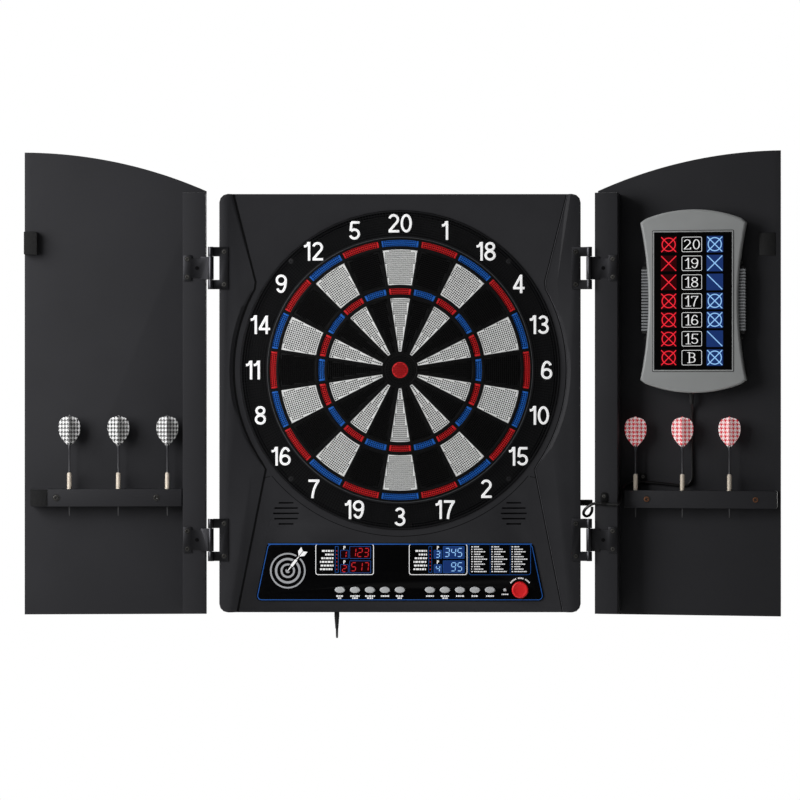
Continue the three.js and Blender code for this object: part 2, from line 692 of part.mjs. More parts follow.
function addDoor(parent, name) {
  const { side, ajar } = DOORS[name];
  const door = new THREE.Group();
  door.position.set(side * AXIS_X, AXIS_Y, 0);
  door.rotation.z = -side * ajar * RAD;
  piece(door, `${name}_door_panel`, doorPanel(side), DOOR_BLACK);
  piece(door, `${name}_door_rail`, doorRail(side), DOOR_BLACK);
  for (const [level, z] of Object.entries(HINGE_Z)) {
    piece(door, `hinge_leaf_${name}_${level}`, hingeLeaf(side, z), STEEL);
    piece(parent, `hinge_bracket_${name}_${level}`, hingeBracket(side, z), STEEL);
  }
  piece(door, `${name}_dart_rack`, dartRack(side, RACKS[name]), DOOR_BLACK);
  addDarts(door, name, side, RACKS[name]);
  parent.add(door);
  return door;
}

function addDoors(parent) {
  const back = PANEL.front - GAP;
  const left = addDoor(parent, 'left');
  piece(left, 'closure_block', block(-DOOR_REACH, -265, back - 14, back, 176, 211), RUBBER);
  const right = addDoor(parent, 'right');
  piece(right, 'scoreboard_shell', scoreboardShell(), SILVER);
  piece(right, 'scoreboard_lens', scoreboardLens(), LCD);
  piece(right, 'display_lead', displayLead(), RUBBER);
}

// ---------- power ----------

// Heights are absolute: the plug hangs from the jack in the housing's underside.
function powerPlug() {
  const { bottom } = HOUSING;
  const shape = turned([
    [0, POWER.reliefEnd], [2.2, POWER.reliefEnd],
    [3.4, bottom - 9], [3.8, bottom - 8.5], [3.8, bottom - GAP],
    [2.7, bottom - GAP], [2.7, bottom + 3.4], [0, bottom + 3.4],
  ], 12);
  return shape.translate(POWER.x, POWER.y, 0);
}

const COIL_OUTER = COIL.mean + COIL.half;
const FLOOR = HOUSING.bottom + HOUSING.wall + GAP;
const RISER_Y = POWER.y + 2 * POWER.turn;
const COIL_CENTRE = {
  x: POWER.x + COIL.mean + 1.5 * 2 * POWER.radius,
  y: RISER_Y + 1.5 * 2 * POWER.radius,
  z: FLOOR + COIL_OUTER,
};

// Down from the plug, round in a U behind itself and up through the rim's notch to the coil.
function powerCord() {
  const { x, y, turn, turnZ, reliefEnd, radius } = POWER;
  const points = [[x, y, reliefEnd - GAP]];
  for (let angle = 0; angle <= 180; angle += 20) {
    const out = turn * (1 - Math.cos(angle * RAD));
    points.push([x, y + out, turnZ - turn * Math.sin(angle * RAD)]);
  }
  points.push([x, RISER_Y, -380], [x, RISER_Y, -366], [x, RISER_Y, -353.5]);
  return tube(points, radius, 8, 24);
}

function coil() {
  const { x, y, z } = COIL_CENTRE;
  const inner = COIL.mean - COIL.half;
  const ring = turnedAboutY([
    [inner, -COIL.half], [COIL_OUTER, -COIL.half],
    [COIL_OUTER, COIL.half], [inner, COIL.half], [inner, -COIL.half],
  ], 22);
  return ring.translate(x, y, z);
}

// The wall adaptor stands in the rear recess, its blades up and its relief towards the coil.
function wallAdaptor() {
  const left = COIL_CENTRE.x + COIL_OUTER + 0.8;
  const right = left + 40;
  const top = FLOOR + 60;
  const corners = rectangle(left, FLOOR, right, top);
  const body = prism(rounded(corners, 4, 2), -30, -3);
  const middle = (left + right) / 2;
  const blades = [-6.35, 6.35].map((offset) => {
    return block(middle + offset - 0.8, middle + offset + 0.8, -20, -13.5, top - 2, top + 17);
  });
  const reliefLong = left - (COIL_CENTRE.x + 13.8) + 1;
  const relief = turned([[0, 0], [1.8, 0], [2.6, reliefLong], [0, reliefLong]], 8);
  relief.rotateY(Math.PI / 2);
  const lastColumnY = COIL_CENTRE.y + 1.5 * 2 * POWER.radius;
  const tangentZ = COIL_CENTRE.z + COIL.mean + 1.5 * 2 * POWER.radius;
  relief.translate(left + 1 - reliefLong, lastColumnY, tangentZ);
  return joined([body, ...blades, relief]);
}

function powerJack() {
  const { x, y } = POWER;
  return block(x - 6, x + 6, y - 6, y + 6, HOUSING.bottom + HOUSING.wall + 0.6, -353);
}

// The plug of the scoreboard's lead stands in a socket in the housing's right-hand wall.
function displayPlug() {
  const body = block(HOUSING.halfWidth + GAP, 292.5, -48, -38, -206, -197);
  const stub = block(HOUSING.halfWidth - 6, HOUSING.halfWidth + 2, -46, -40, -204, -199);
  return joined([body, stub]);
}

function addLeads(parent) {
  piece(parent, 'display_plug', displayPlug(), RUBBER);
  piece(parent, 'power_jack', powerJack(), RUBBER);
  piece(parent, 'power_plug', powerPlug(), RUBBER);
  piece(parent, 'power_cord', powerCord(), RUBBER);
  piece(parent, 'power_cord_coil', coil(), RUBBER);
  piece(parent, 'wall_adaptor', wallAdaptor(), RING_BLACK);
}

// ---------- the whole board ----------

const board = new THREE.Group();
piece(board, 'housing_shell', housingShell(), GRAINED);
piece(board, 'back_cover', backCover(), RING_BLACK);
addTarget(board);
addControls(board);
addDoors(board);
addLeads(board);

export default board;
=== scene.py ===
# %% [markdown]
# An electronic dartboard hangs in a wall cabinet whose two doors stand open. The engineering
# model is already fixed: it says where every part is and how the doors, the darts, the keys and
# the target's rings move. This lesson dresses that frame. Each visible part gets finer edges,
# its printing or its perforation, and a finish of its own, and each piece is tied to the body
# it moves with. Starting from the fixed frame means that nothing here ever has to be fitted.

# %% Load the fixed frame
import json
import math
import bmesh
import bpy
from mathutils import Matrix, Vector

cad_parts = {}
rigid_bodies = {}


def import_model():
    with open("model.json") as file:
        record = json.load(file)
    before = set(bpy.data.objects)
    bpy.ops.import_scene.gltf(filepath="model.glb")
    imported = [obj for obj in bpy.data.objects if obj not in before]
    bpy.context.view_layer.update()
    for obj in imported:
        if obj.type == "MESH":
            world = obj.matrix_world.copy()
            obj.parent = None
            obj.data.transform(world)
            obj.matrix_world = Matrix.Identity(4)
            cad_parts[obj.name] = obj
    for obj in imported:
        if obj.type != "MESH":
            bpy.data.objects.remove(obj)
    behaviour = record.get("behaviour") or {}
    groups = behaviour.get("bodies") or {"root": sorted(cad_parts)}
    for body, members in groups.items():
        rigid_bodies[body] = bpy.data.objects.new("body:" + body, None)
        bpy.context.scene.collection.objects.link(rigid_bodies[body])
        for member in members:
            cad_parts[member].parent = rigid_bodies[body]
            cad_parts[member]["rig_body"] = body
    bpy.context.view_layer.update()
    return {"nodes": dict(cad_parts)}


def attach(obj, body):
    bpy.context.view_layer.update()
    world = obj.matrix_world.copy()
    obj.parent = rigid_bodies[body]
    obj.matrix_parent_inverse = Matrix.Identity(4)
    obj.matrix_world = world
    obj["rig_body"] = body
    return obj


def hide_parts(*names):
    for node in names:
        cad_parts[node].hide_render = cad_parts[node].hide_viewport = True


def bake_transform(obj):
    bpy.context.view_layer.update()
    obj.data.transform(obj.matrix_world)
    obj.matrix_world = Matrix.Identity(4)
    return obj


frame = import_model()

nodes = frame["nodes"]
scene = bpy.context.scene

# %% [markdown]
# Millimetres are easier to think in than metres, and each door has its own upright axis at the
# hinge. A matrix for each place lets a door's parts be drawn as if the door were flat open: x
# runs out from the hinge, y away from the viewer and z up. The left door opens a little wider
# than the right one.

# %% Places to build in
MM = 0.001
HINGE_X, HINGE_Y = 286, -66.5
SIDE = {"left": -1, "right": 1}
AJAR = {"left": 2.5, "right": 10}
PLACE = {"board": Matrix.Identity(4)}
BODY = {"board": "housing", "left": "left_door", "right": "right_door"}
for door, side in SIDE.items():
    axis = Matrix.Translation((side * HINGE_X * MM, HINGE_Y * MM, 0))
    PLACE[door] = axis @ Matrix.Rotation(math.radians(-side * AJAR[door]), 4, "Z")
TOWARDS_VIEWER = Matrix.Rotation(math.radians(90), 4, "X")


def spot(x, y, z):
    return Matrix.Translation((x * MM, y * MM, z * MM))


print("places:", ", ".join(PLACE))

# %% [markdown]
# The camera stands level, four metres in front of the target, a little below the bull, and
# looks straight at the wall. A long lens keeps the doors' perspective gentle.

# %% Camera
lens = bpy.data.cameras.new("camera")
lens.lens = 118.8
lens.sensor_width = 36
camera = bpy.data.objects.new("camera", lens)
camera.location = (0, -4.058, -0.04544)
camera.rotation_euler = (math.radians(90), 0, 0)
scene.collection.objects.link(camera)
scene.camera = camera
print("lens", lens.lens, "mm")

# %% [markdown]
# A finish is more than a colour. Real moulded plastic is slightly uneven in shade, its gloss
# wanders, and its skin has a grain. One helper mixes two close shades with a broad noise, lets
# a fine noise move the roughness, and presses the same fine noise into the surface as a bump.
# Every finish in the scene comes from it, with the numbers that its own surface needs.

# %% Helper for finishes
def linear(shade):
    """An sRGB colour of 0 to 255 as the linear colour that a shader wants."""
    parts = [value / 255 for value in shade]
    bent = [p / 12.92 if p <= 0.04045 else ((p + 0.055) / 1.055) ** 2.4 for p in parts]
    return (*bent, 1)


def finish(name, slot, shade, roughness, grain=0.6, press=0.1, mottle=0.12, patch=30, **extra):
    """grain is the size of the skin's bumps in mm, press is their depth in mm, and patch is
    how many broad patches of the two shades there are in a metre."""
    material = bpy.data.materials.new(name)
    material.use_nodes = True
    material["slot"] = slot
    tree = material.node_tree
    shader = tree.nodes["Principled BSDF"]
    where = tree.nodes.new("ShaderNodeTexCoord").outputs["Object"]
    broad = tree.nodes.new("ShaderNodeTexNoise")
    broad.inputs["Scale"].default_value = patch
    broad.inputs["Detail"].default_value = 4
    fine = tree.nodes.new("ShaderNodeTexNoise")
    fine.inputs["Scale"].default_value = 0.55 / (grain * MM)
    fine.inputs["Detail"].default_value = 2
    for noise in (broad, fine):
        tree.links.new(where, noise.inputs["Vector"])
    shades = tree.nodes.new("ShaderNodeMix")
    shades.data_type = "RGBA"
    base = linear(shade)
    shades.inputs["A"].default_value = (*[c * (1 - mottle) for c in base[:3]], 1)
    shades.inputs["B"].default_value = (*[min(1, c * (1 + mottle)) for c in base[:3]], 1)
    tree.links.new(broad.outputs["Fac"], shades.inputs["Factor"])
    tree.links.new(shades.outputs["Result"], shader.inputs["Base Color"])
    gloss = tree.nodes.new("ShaderNodeMapRange")
    gloss.inputs["To Min"].default_value = max(0.02, roughness - 0.08)
    gloss.inputs["To Max"].default_value = min(1, roughness + 0.08)
    tree.links.new(fine.outputs["Fac"], gloss.inputs["Value"])
    tree.links.new(gloss.outputs["Result"], shader.inputs["Roughness"])
    bump = tree.nodes.new("ShaderNodeBump")
    bump.inputs["Strength"].default_value = 0.5
    bump.inputs["Distance"].default_value = press * MM
    tree.links.new(fine.outputs["Fac"], bump.inputs["Height"])
    tree.links.new(bump.outputs["Normal"], shader.inputs["Normal"])
    for socket, value in extra.items():
        shader.inputs[socket.replace("_", " ")].default_value = value
    return material


# %% [markdown]
# The moulded housing has a coarse leather-like grain. The doors are board under a satin black
# foil, which shows a much finer skin and rubs slightly paler in patches. Both are named here
# with the other dark finishes, so that the blacks can be judged against each other.

# %% Dark finishes
grained = finish("grained_housing", "housing_plastic", (46, 46, 49), 0.6, 1.1, 0.16,
                 Specular_IOR_Level=0.2)
foil = finish("satin_door_foil", "door_board", (45, 45, 48), 0.65, 0.7, 0.05, 0.16, 9,
              Specular_IOR_Level=0.2)
ring_black = finish("catch_ring_black", "ring_plastic", (28, 28, 30), 0.7, 0.8, 0.02,
                    Specular_IOR_Level=0.1)
web_black = finish("spider_black", "ring_plastic", (11, 11, 12), 0.45, 0.8, 0.02,
                   Specular_IOR_Level=0.2)
cover_black = finish("back_cover_black", "ring_plastic", (34, 34, 36), 0.55, 1.4, 0.12)
rubber = finish("matt_rubber", "rubber", (24, 24, 25), 0.75, 0.5, 0.05)
jacket = finish("lead_jacket", "lead_black", (15, 15, 16), 0.35, 0.4, 0.02)
hook_pad = finish("hook_fastener", "rubber", (14, 14, 15), 0.9, 1.6, 0.9, 0.3, 300)
steel = finish("blackened_steel", "hinge_steel", (70, 70, 73), 0.38, 0.5, 0.03, Metallic=1.0)
screw_steel = finish("screw_steel", "hinge_steel", (120, 118, 115), 0.3, 0.4, 0.01, Metallic=1.0)
print("dark finishes made")

# %% [markdown]
# A flat part is drawn as outlines in the wall's plane and given a thickness. Blender's own
# curves do that well: the first outline is the edge, any other inside it is a hole, and a small
# bevel rounds every edge, which is what catches the light on real plastic. The curve becomes a
# mesh at once, so that its shade smoothing can stop at the true corners.

# %% Helpers for flat parts
def meshed(curve, place, crease=35):
    draft = bpy.data.objects.new("draft", curve)
    scene.collection.objects.link(draft)
    graph = bpy.context.evaluated_depsgraph_get()
    mesh = bpy.data.meshes.new_from_object(draft.evaluated_get(graph))
    bpy.data.objects.remove(draft)
    mesh.transform(place)
    return creased(mesh, crease)


def creased(mesh, angle=35):
    bm = bmesh.new()
    bm.from_mesh(mesh)
    bmesh.ops.remove_doubles(bm, verts=bm.verts, dist=1e-6)
    bm.to_mesh(mesh)
    bm.free()
    mesh.shade_smooth()
    mesh.set_sharp_from_angle(angle=math.radians(angle))
    return mesh


def plate(outlines, front, back, edge=0.0, rounds=1, crease=35):
    """A flat part between y = front and y = back, its edges rounded by edge, all in mm."""
    curve = bpy.data.curves.new("outline", "CURVE")
    curve.dimensions = "2D"
    curve.fill_mode = "BOTH"
    curve.extrude = ((back - front) / 2 - edge) * MM
    curve.bevel_depth = edge * MM
    curve.bevel_resolution = rounds
    curve.offset = -edge * MM
    for outline in outlines:
        line = curve.splines.new("POLY")
        line.points.add(len(outline) - 1)
        for point, (x, z) in zip(line.points, outline):
            point.co = (x * MM, z * MM, 0, 1)
        line.use_cyclic_u = True
    return meshed(curve, spot(0, (front + back) / 2, 0) @ TOWARDS_VIEWER, crease)


def joined(meshes):
    bm = bmesh.new()
    for mesh in meshes:
        bm.from_mesh(mesh)
    whole = bpy.data.meshes.new("joined")
    bm.to_mesh(whole)
    bm.free()
    return whole


def add(name, mesh, material, where="board", stands_for=(), body=None):
    """Puts a finished mesh or curve in its place, on its body, in its finish."""
    mesh.transform(PLACE[where])
    mesh.materials.clear()
    mesh.materials.append(material)
    piece = bpy.data.objects.new(name, mesh)
    scene.collection.objects.link(piece)
    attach(piece, body or BODY[where])
    if stands_for:
        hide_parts(*stands_for)
    return piece


# %% [markdown]
# Leads and wire ties are the same kind of thing, a round wire through a row of places, so one
# helper makes the curve for all of them.

# %% Helper for round wires
def tube(name, places, radius, rounds=4, closed=False):
    curve = bpy.data.curves.new(name, "CURVE")
    curve.dimensions = "3D"
    curve.bevel_depth = radius * MM
    curve.bevel_resolution = rounds
    curve.use_fill_caps = not closed
    line = curve.splines.new("POLY")
    line.points.add(len(places) - 1)
    for point, place in zip(line.points, places):
        point.co = (*[value * MM for value in place], 1)
    line.use_cyclic_u = closed
    return curve


# %% [markdown]
# Outlines come from a few small makers: an arc, a circle, a box, an outline with its corners
# rounded, a strip along a line, the printed line between two outlines, and such a line as a box.

# %% Outlines
def arc(radius, start, end, steps, x=0, z=0):
    turns = [math.radians(start + (end - start) * i / steps) for i in range(steps + 1)]
    return [(x + radius * math.cos(t), z + radius * math.sin(t)) for t in turns]


def circle(radius, sides=48, x=0, z=0):
    return arc(radius, 0, 360, sides, x, z)[:-1]


def box(x0, z0, x1, z1):
    return [(x0, z0), (x1, z0), (x1, z1), (x0, z1)]


def rounded(corners, radius, steps=4):
    """A convex outline with each corner turned into a small arc."""
    points = []
    for i, corner in enumerate(corners):
        here = Vector(corner)
        back = (Vector(corners[i - 1]) - here).normalized()
        on = (Vector(corners[(i + 1) % len(corners)]) - here).normalized()
        half = back.angle(on) / 2
        centre = here + (back + on).normalized() * radius / math.sin(half)
        start = here + back * radius / math.tan(half) - centre
        end = here + on * radius / math.tan(half) - centre
        first = math.degrees(math.atan2(start.y, start.x))
        turn = (math.degrees(math.atan2(end.y, end.x)) - first + 180) % 360 - 180
        points += arc(radius, first, first + turn, steps, *centre)
    return points


def ribbon(points, width, level=None):
    """A strip along an open line of points; level is its width where the line runs level."""
    ahead, behind = [], []
    for i, (x, z) in enumerate(points):
        before, after = points[max(i - 1, 0)], points[min(i + 1, len(points) - 1)]
        along = Vector((after[0] - before[0], after[1] - before[1])).normalized()
        half = width / 2 if level is None else (level + (width - level) * abs(along.y)) / 2
        ahead.append((x - along.y * half, z + along.x * half))
        behind.append((x + along.y * half, z - along.x * half))
    return behind + ahead[::-1]


def border(outline, inner):
    """A printed line between two outlines with the same middle."""
    return [outline, inner[::-1]]


def frame_line(x0, z0, x1, z1, width, outer, inner):
    """A printed box of that line width, with its outer and inner corner radius."""
    return border(rounded(box(x0, z0, x1, z1), outer),
                  rounded(box(x0 + width, z0 + width, x1 - width, z1 - width), inner))


print("a circle has", len(circle(1)), "points")

# %% [markdown]
# Round parts are turned on a lathe: a profile of radius and height, swept once round. Knobs and
# screws face the viewer, so their height is how far they stand off the wall.

# %% Helper for turned parts
def turned(profile, sides=32, place=None, crease=35):
    corners, rings, faces = [], [], []
    for radius, height in profile:
        start = len(corners)
        count = sides if radius else 1
        for i in range(count):
            angle = 2 * math.pi * i / sides
            x, y = radius * math.cos(angle), radius * math.sin(angle)
            corners.append((x * MM, y * MM, height * MM))
        rings.append([start + i % count for i in range(sides)])
    for low, high in zip(rings, rings[1:]):
        for i in range(sides):
            j = (i + 1) % sides
            faces.append(list(dict.fromkeys((low[i], low[j], high[j], high[i]))))
    mesh = bpy.data.meshes.new("turned")
    mesh.from_pydata(corners, [], [face for face in faces if len(face) > 2])
    mesh.transform(place or TOWARDS_VIEWER)
    return creased(mesh, crease)


def knob(profile, x, z, sides=32, crease=35):
    return turned(profile, sides, spot(x, 0, z) @ TOWARDS_VIEWER, crease)


def screws(name, spots, radius, front, material, where="board", turn=20):
    """Screws up to y = front, each with a cross recess and a dark ring round its head that is painted
    shade.
    """
    heads = []
    for i, (x, z) in enumerate(spots):
        spin = math.radians(turn + 31 * i)
        slim, long = radius * 0.17, radius * 0.6
        cross = [(long, -slim), (long, slim), (slim, slim), (slim, long), (-slim, long),
                 (-slim, slim), (-long, slim), (-long, -slim), (-slim, -slim), (-slim, -long),
                 (slim, -long), (slim, -slim)]
        cut = [(x + a * math.cos(spin) - b * math.sin(spin),
                z + a * math.sin(spin) + b * math.cos(spin)) for a, b in cross]
        heads.append(plate([circle(radius, 20, x, z), cut[::-1]], front, front + 0.9, 0.08, 2))
    # The dark ring round each head is painted shade for the recess that the head sits in.
    painted_shade_rings = [plate([circle(radius * 1.4, 24, x, z)], front + 0.5, front + 1.3) for x, z in spots]
    add(name + "_painted_shade_rings", joined(painted_shade_rings), rubber, where)
    return add(name, joined(heads), material, where)


# %% [markdown]
# Many fixed parts already have the right shape and only lack the small radius that a mould
# leaves on every corner. This helper copies such a part, merges its flat triangles, rounds its
# sharp edges and stands the copy in for it.

# %% Helper for softened edges
def softened(node, radius, material, name, steps=2):
    bm = bmesh.new()
    bm.from_mesh(nodes[node].data)
    bmesh.ops.remove_doubles(bm, verts=bm.verts, dist=1e-6)
    bmesh.ops.dissolve_limit(bm, angle_limit=math.radians(1), verts=bm.verts, edges=bm.edges)
    sharp = [e for e in bm.edges if e.is_manifold and e.calc_face_angle(0) > math.radians(35)]
    bmesh.ops.bevel(bm, geom=sharp, offset=radius * MM, segments=steps, profile=0.5,
                    affect="EDGES", clamp_overlap=True)
    mesh = bpy.data.meshes.new(name)
    bm.to_mesh(mesh)
    bm.free()
    body = nodes[node]["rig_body"]
    return add(name, creased(mesh), material, body=body, stands_for=[node])


print("helpers ready")

# %% [markdown]
# The printed figures are plain strokes, as a sign writer would lay them: ovals, stems and bars
# of one width. Each stroke is a strip of its own that overlaps its neighbours. The scoreboard's
# figures are drawn from the same strokes, but with thin level strokes and with small feet.

# %% Figures
def oval(x, z, wide, tall, start=0, end=360):
    turns = [math.radians(start + (end - start) * i / 24) for i in range(25)]
    return [(x + wide * math.cos(t), z + tall * math.sin(t)) for t in turns]


six = [oval(0.31, 0.305, 0.235, 0.23),
       [(0.075, 0.30), (0.08, 0.48), (0.115, 0.68), (0.18, 0.83), (0.26, 0.915), (0.34, 0.925),
        (0.43, 0.89), (0.49, 0.81), (0.515, 0.75)]]
upper_bowl = [(0.1, 0.925), *oval(0.33, 0.73, 0.2, 0.195, 90, -90), (0.1, 0.535)]
lower_bowl = [(0.1, 0.535), *oval(0.34, 0.305, 0.225, 0.23, 90, -90), (0.1, 0.075)]
STROKES = {
    "0": [oval(0.31, 0.5, 0.235, 0.425)],
    "1": [[(0.27, 0), (0.27, 1)], [(0, 0.76), (0.1, 0.775), (0.185, 0.84), (0.23, 0.97)]],
    "2": [oval(0.31, 0.7, 0.225, 0.225, 165, -40) + [(0.08, 0.09)], [(0.04, 0.075), (0.6, 0.075)]],
    "3": [oval(0.3, 0.73, 0.2, 0.195, 160, -85), oval(0.3, 0.29, 0.235, 0.215, 85, -160),
          [(0.22, 0.52), (0.33, 0.52)]],
    "4": [[(0.44, 0), (0.44, 0.98)], [(0.02, 0.27), (0.62, 0.27)], [(0.06, 0.27), (0.42, 0.93)]],
    "5": [[(0.13, 0.925), (0.57, 0.925)], [(0.15, 0.93), (0.1, 0.47)],
          oval(0.3, 0.31, 0.235, 0.235, 140, -160)],
    "6": six,
    "7": [[(0.03, 0.925), (0.61, 0.925)],
          [(0.56, 0.93), (0.42, 0.7), (0.32, 0.45), (0.26, 0.2), (0.24, 0)]],
    "8": [oval(0.31, 0.745, 0.205, 0.185), oval(0.31, 0.285, 0.235, 0.215)],
    "9": [[(0.62 - x, 1 - z) for x, z in stroke] for stroke in six],
    "B": [[(0.12, 0), (0.12, 1)], upper_bowl, lower_bowl],
    "P": [[(0.12, 0), (0.12, 1)], upper_bowl]}
FEET = {"1": [[(0.06, 0.03), (0.48, 0.03)]], "7": [[(0.07, 0.95), (0.07, 0.76)]],
        "5": [[(0.53, 0.95), (0.53, 0.86)]], "2": [[(0.57, 0.05), (0.57, 0.22)]],
        "B": [[(-0.04, 0.97), (0.2, 0.97)], [(-0.04, 0.03), (0.2, 0.03)]]}


def lettering(text, height, x, z, front, back, thick=0.13, thin=None, edge=0.0):
    """Figures centred on x and z, with strokes as thick as that share of their height."""
    wide = [0.36 if sign == "1" else 0.62 for sign in text]
    apart = 0.1 if thin else 0.05
    left = -(sum(wide) + apart * (len(text) - 1)) / 2
    strips = []
    for sign, width in zip(text, wide):
        for stroke in STROKES[sign] + (FEET.get(sign, []) if thin else []):
            line = [(x + (left + a) * height * (1.15 if thin else 1), z + (b - 0.5) * height)
                    for a, b in stroke]
            shift = 0.012 * len(strips)
            strips.append(plate([ribbon(line, thick * height, thin and thin * height)],
                                front + shift, back, edge))
        left += width + apart
    return joined(strips)


print(len(STROKES), "figures and letters")

# %% [markdown]
# The power lead comes first, because its place is settled by the fixed frame. It drops from
# the plug under the housing, turns back in a U behind it and runs up through a notch in the
# rim to a neat coil in the hollow back, where the wall adaptor is stored beside it. The coil is
# four columns of four turns. Each turn keeps its radius for most of the way round and moves
# over to the next place in its last quarter, just as a lead does when it is wound by hand.

# %% Power lead
LEAD = 1.6
PLUG_X, PLUG_Y, PLUG_FOOT = -96, -44, -392.7
U_RADIUS, U_Z = 11.5, -395.5
COIL_X, COIL_Y, COIL_Z = -73.54, -16.2, -339.49
COIL_RADII = [12.86, 16.06, 19.26, 22.46]
TURNS = 15.25


def coil_place(turn):
    """Radius and depth of the middle of the lead after so many turns."""
    column, layer = divmod(int(turn), 4)
    layer = 3 - layer if column % 2 == 0 else layer
    return COIL_RADII[layer], COIL_Y + (column - 1.5) * 2 * LEAD


def coil_point(turn):
    ramp = max(0, (turn % 1 - 0.78) / 0.22)
    ramp = ramp * ramp * (3 - 2 * ramp)
    here, following = coil_place(turn), coil_place(min(turn + 1, 15.9))
    radius = here[0] + (following[0] - here[0]) * ramp
    depth = here[1] + (following[1] - here[1]) * ramp
    angle = math.pi - 2 * math.pi * turn
    return (COIL_X + radius * math.cos(angle), depth, COIL_Z + radius * math.sin(angle))


route = [(PLUG_X, PLUG_Y, PLUG_FOOT)]
route += [(PLUG_X, PLUG_Y + U_RADIUS + out, down)
          for out, down in arc(U_RADIUS, 180, 360, 12, 0, U_Z)]
route += [(PLUG_X, PLUG_Y + 2 * U_RADIUS, z) for z in range(-388, -347, 8)]
route += [coil_point(i / 30) for i in range(int(TURNS * 30) + 1)]
route += [(COIL_X + step, -11.4, COIL_Z + 22.46) for step in (4, 8, 13.5)]

wire = tube("power_lead", route, LEAD)
power_lead = add("power_lead", wire, jacket, stands_for=["power_cord", "power_cord_coil"])
length = sum((Vector(a) - Vector(b)).length for a, b in zip(route, route[1:]))
print("the power lead is", round(length), "mm long")

# %% [markdown]
# The plug has a ribbed strain relief that tapers down onto the lead, and a small wire tie holds
# the coil. The adaptor is a plain moulded block with two blades.

# %% Plug, tie and adaptor
relief = [(0, -393), (2.2, -393)]
for i in range(6):
    foot = -391.5 + i * 2.6
    wide = 2.35 + i * 0.2
    relief += [(wide, foot), (wide + 0.25, foot + 0.3), (wide + 0.25, foot + 1.5), (wide, foot + 1.8)]
relief += [(3.6, -375.6), (3.8, -375.2), (3.8, -368), (3.5, -367.5), (2.7, -367.3), (2.7, -363.7)]
relief += [(0, -363.7)]
plug = add("power_plug_body", turned(relief, 28, spot(PLUG_X, PLUG_Y, 0)), rubber,
           stands_for=["power_plug"])
adaptor = softened("wall_adaptor", 1.2, cover_black, "wall_adaptor_case", 3)

TIE_TURN = math.radians(118)
TIE_ROUNDS = 4
loop = [(out * math.cos(TIE_TURN), depth, out * math.sin(TIE_TURN))
        for out, depth in rounded(box(10.6, -7.2, 24.7, 7.2), 3.2, 5)]
tie_wire = tube("tie", loop, 0.55, TIE_ROUNDS, closed=True)
tie = add("coil_tie", meshed(tie_wire, spot(COIL_X, COIL_Y, COIL_Z)), jacket)

# %% [markdown]
# The housing keeps its engineering shape, with every corner softened. The cheeks are separate
# mouldings, so a dark seam runs down the inner edge of each, and the lower panel has its own
# parting line that follows the target. The left seam is drawn wider, and its extra width is
# painted shade on the cheek's flank that turns away from the key lamp. On the right the seam is
# tight, and a pale strip along the cheek's edge is a painted highlight.

# %% Housing
BEZEL = -58
housing = softened("housing_shell", 0.9, grained, "housing_moulding", 3)
# This near-black finish draws the real seams and parting lines, and also painted shade: the extra width
# of the left cheek seam and the hinge leaves' holes.
seam_and_painted_shade = finish("dark_seam_and_painted_shade", "housing_plastic", (7, 7, 8), 0.8, Specular_IOR_Level=0.1)
# A pale finish that is a painted highlight on the right cheek's crest.
painted_cheek_highlight = finish("cheek_edge_painted_highlight", "housing_plastic", (92, 92, 96), 0.4)
cheek_edge = [(252.7, 265.6), (219.5, 133.5), *arc(252.5, 29, -34, 20), (204, -150.5), (246.6, -366)]


def along_cheek(side, shift):
    return [(side * (x - shift), z) for x, z in cheek_edge]


def on_bezel(line, width, proud):
    """A drawn line that stands that far proud of the bezel and reaches just into it."""
    return plate([ribbon(line, width)], BEZEL - proud, BEZEL + 0.1)


# The left cheek seam is 3 mm wide against 1.3 mm on the right; the extra width is painted shade.
seams_and_painted_shade = [on_bezel(along_cheek(-1, 0.6), 3, 0.35), on_bezel(along_cheek(1, 0.7), 1.3, 0.2)]
for side in SIDE.values():
    seams_and_painted_shade.append(on_bezel([(side * 197, -161.5), (side * 206, -163)], 0.9, 0.12))
seams_and_painted_shade.append(on_bezel(arc(251.9, 219.5, 320.5, 60), 0.9, 0.12))
add("parting_lines_and_painted_shade", joined(seams_and_painted_shade), seam_and_painted_shade)
# Painted highlight: a pale strip along the right cheek's crest.
add("right_cheek_painted_highlight", on_bezel(along_cheek(1, -0.5), 0.7, 0.5), painted_cheek_highlight)
print("housing has", len(housing.data.polygons), "faces")

# %% [markdown]
# The back cover gets its screws and the moulded ribs that stiffen such a thin sheet. It is
# seen only from behind, but a board that is taken off its hooks shows it.

# %% Back cover
softened("back_cover", 0.6, cover_black, "back_cover_moulding")
RIB_TOP, RIB_FOOT = -36.5, -40.2
spokes = []
for i in range(8):
    turn = math.radians(22.5 + 45 * i)
    start, end = ((r * math.cos(turn), r * math.sin(turn)) for r in (62, 226))
    spokes.append([ribbon([start, end], 2.4)])
hoop = [circle(120, 72), circle(117.8, 72)]
ribs = [plate(outlines, RIB_FOOT, RIB_TOP, 0.3) for outlines in (*spokes, hoop)]
add("back_ribs", joined(ribs), cover_black)
rear = [(x, z) for x in (-255, 0, 255) for z in (-345, 258)] + [(-255, -40), (255, -40)]
heads = [turned([(0, 3.1), (2.2, 2.8), (3.4, 1.6), (3.6, 0)][::-1], 20,
                spot(x, -33.1, z) @ Matrix.Rotation(math.radians(-90), 4, "X")) for x, z in rear]
add("back_screws", joined(heads), screw_steel)
print(len(rear), "screws on the back")

# %% [markdown]
# The target's plastics are brighter and glossier than the cabinet's. Half of each face is holes,
# which eat the light, so the white itself has to be as pale as fresh plastic gets, with a trace
# of glow that is painted light.

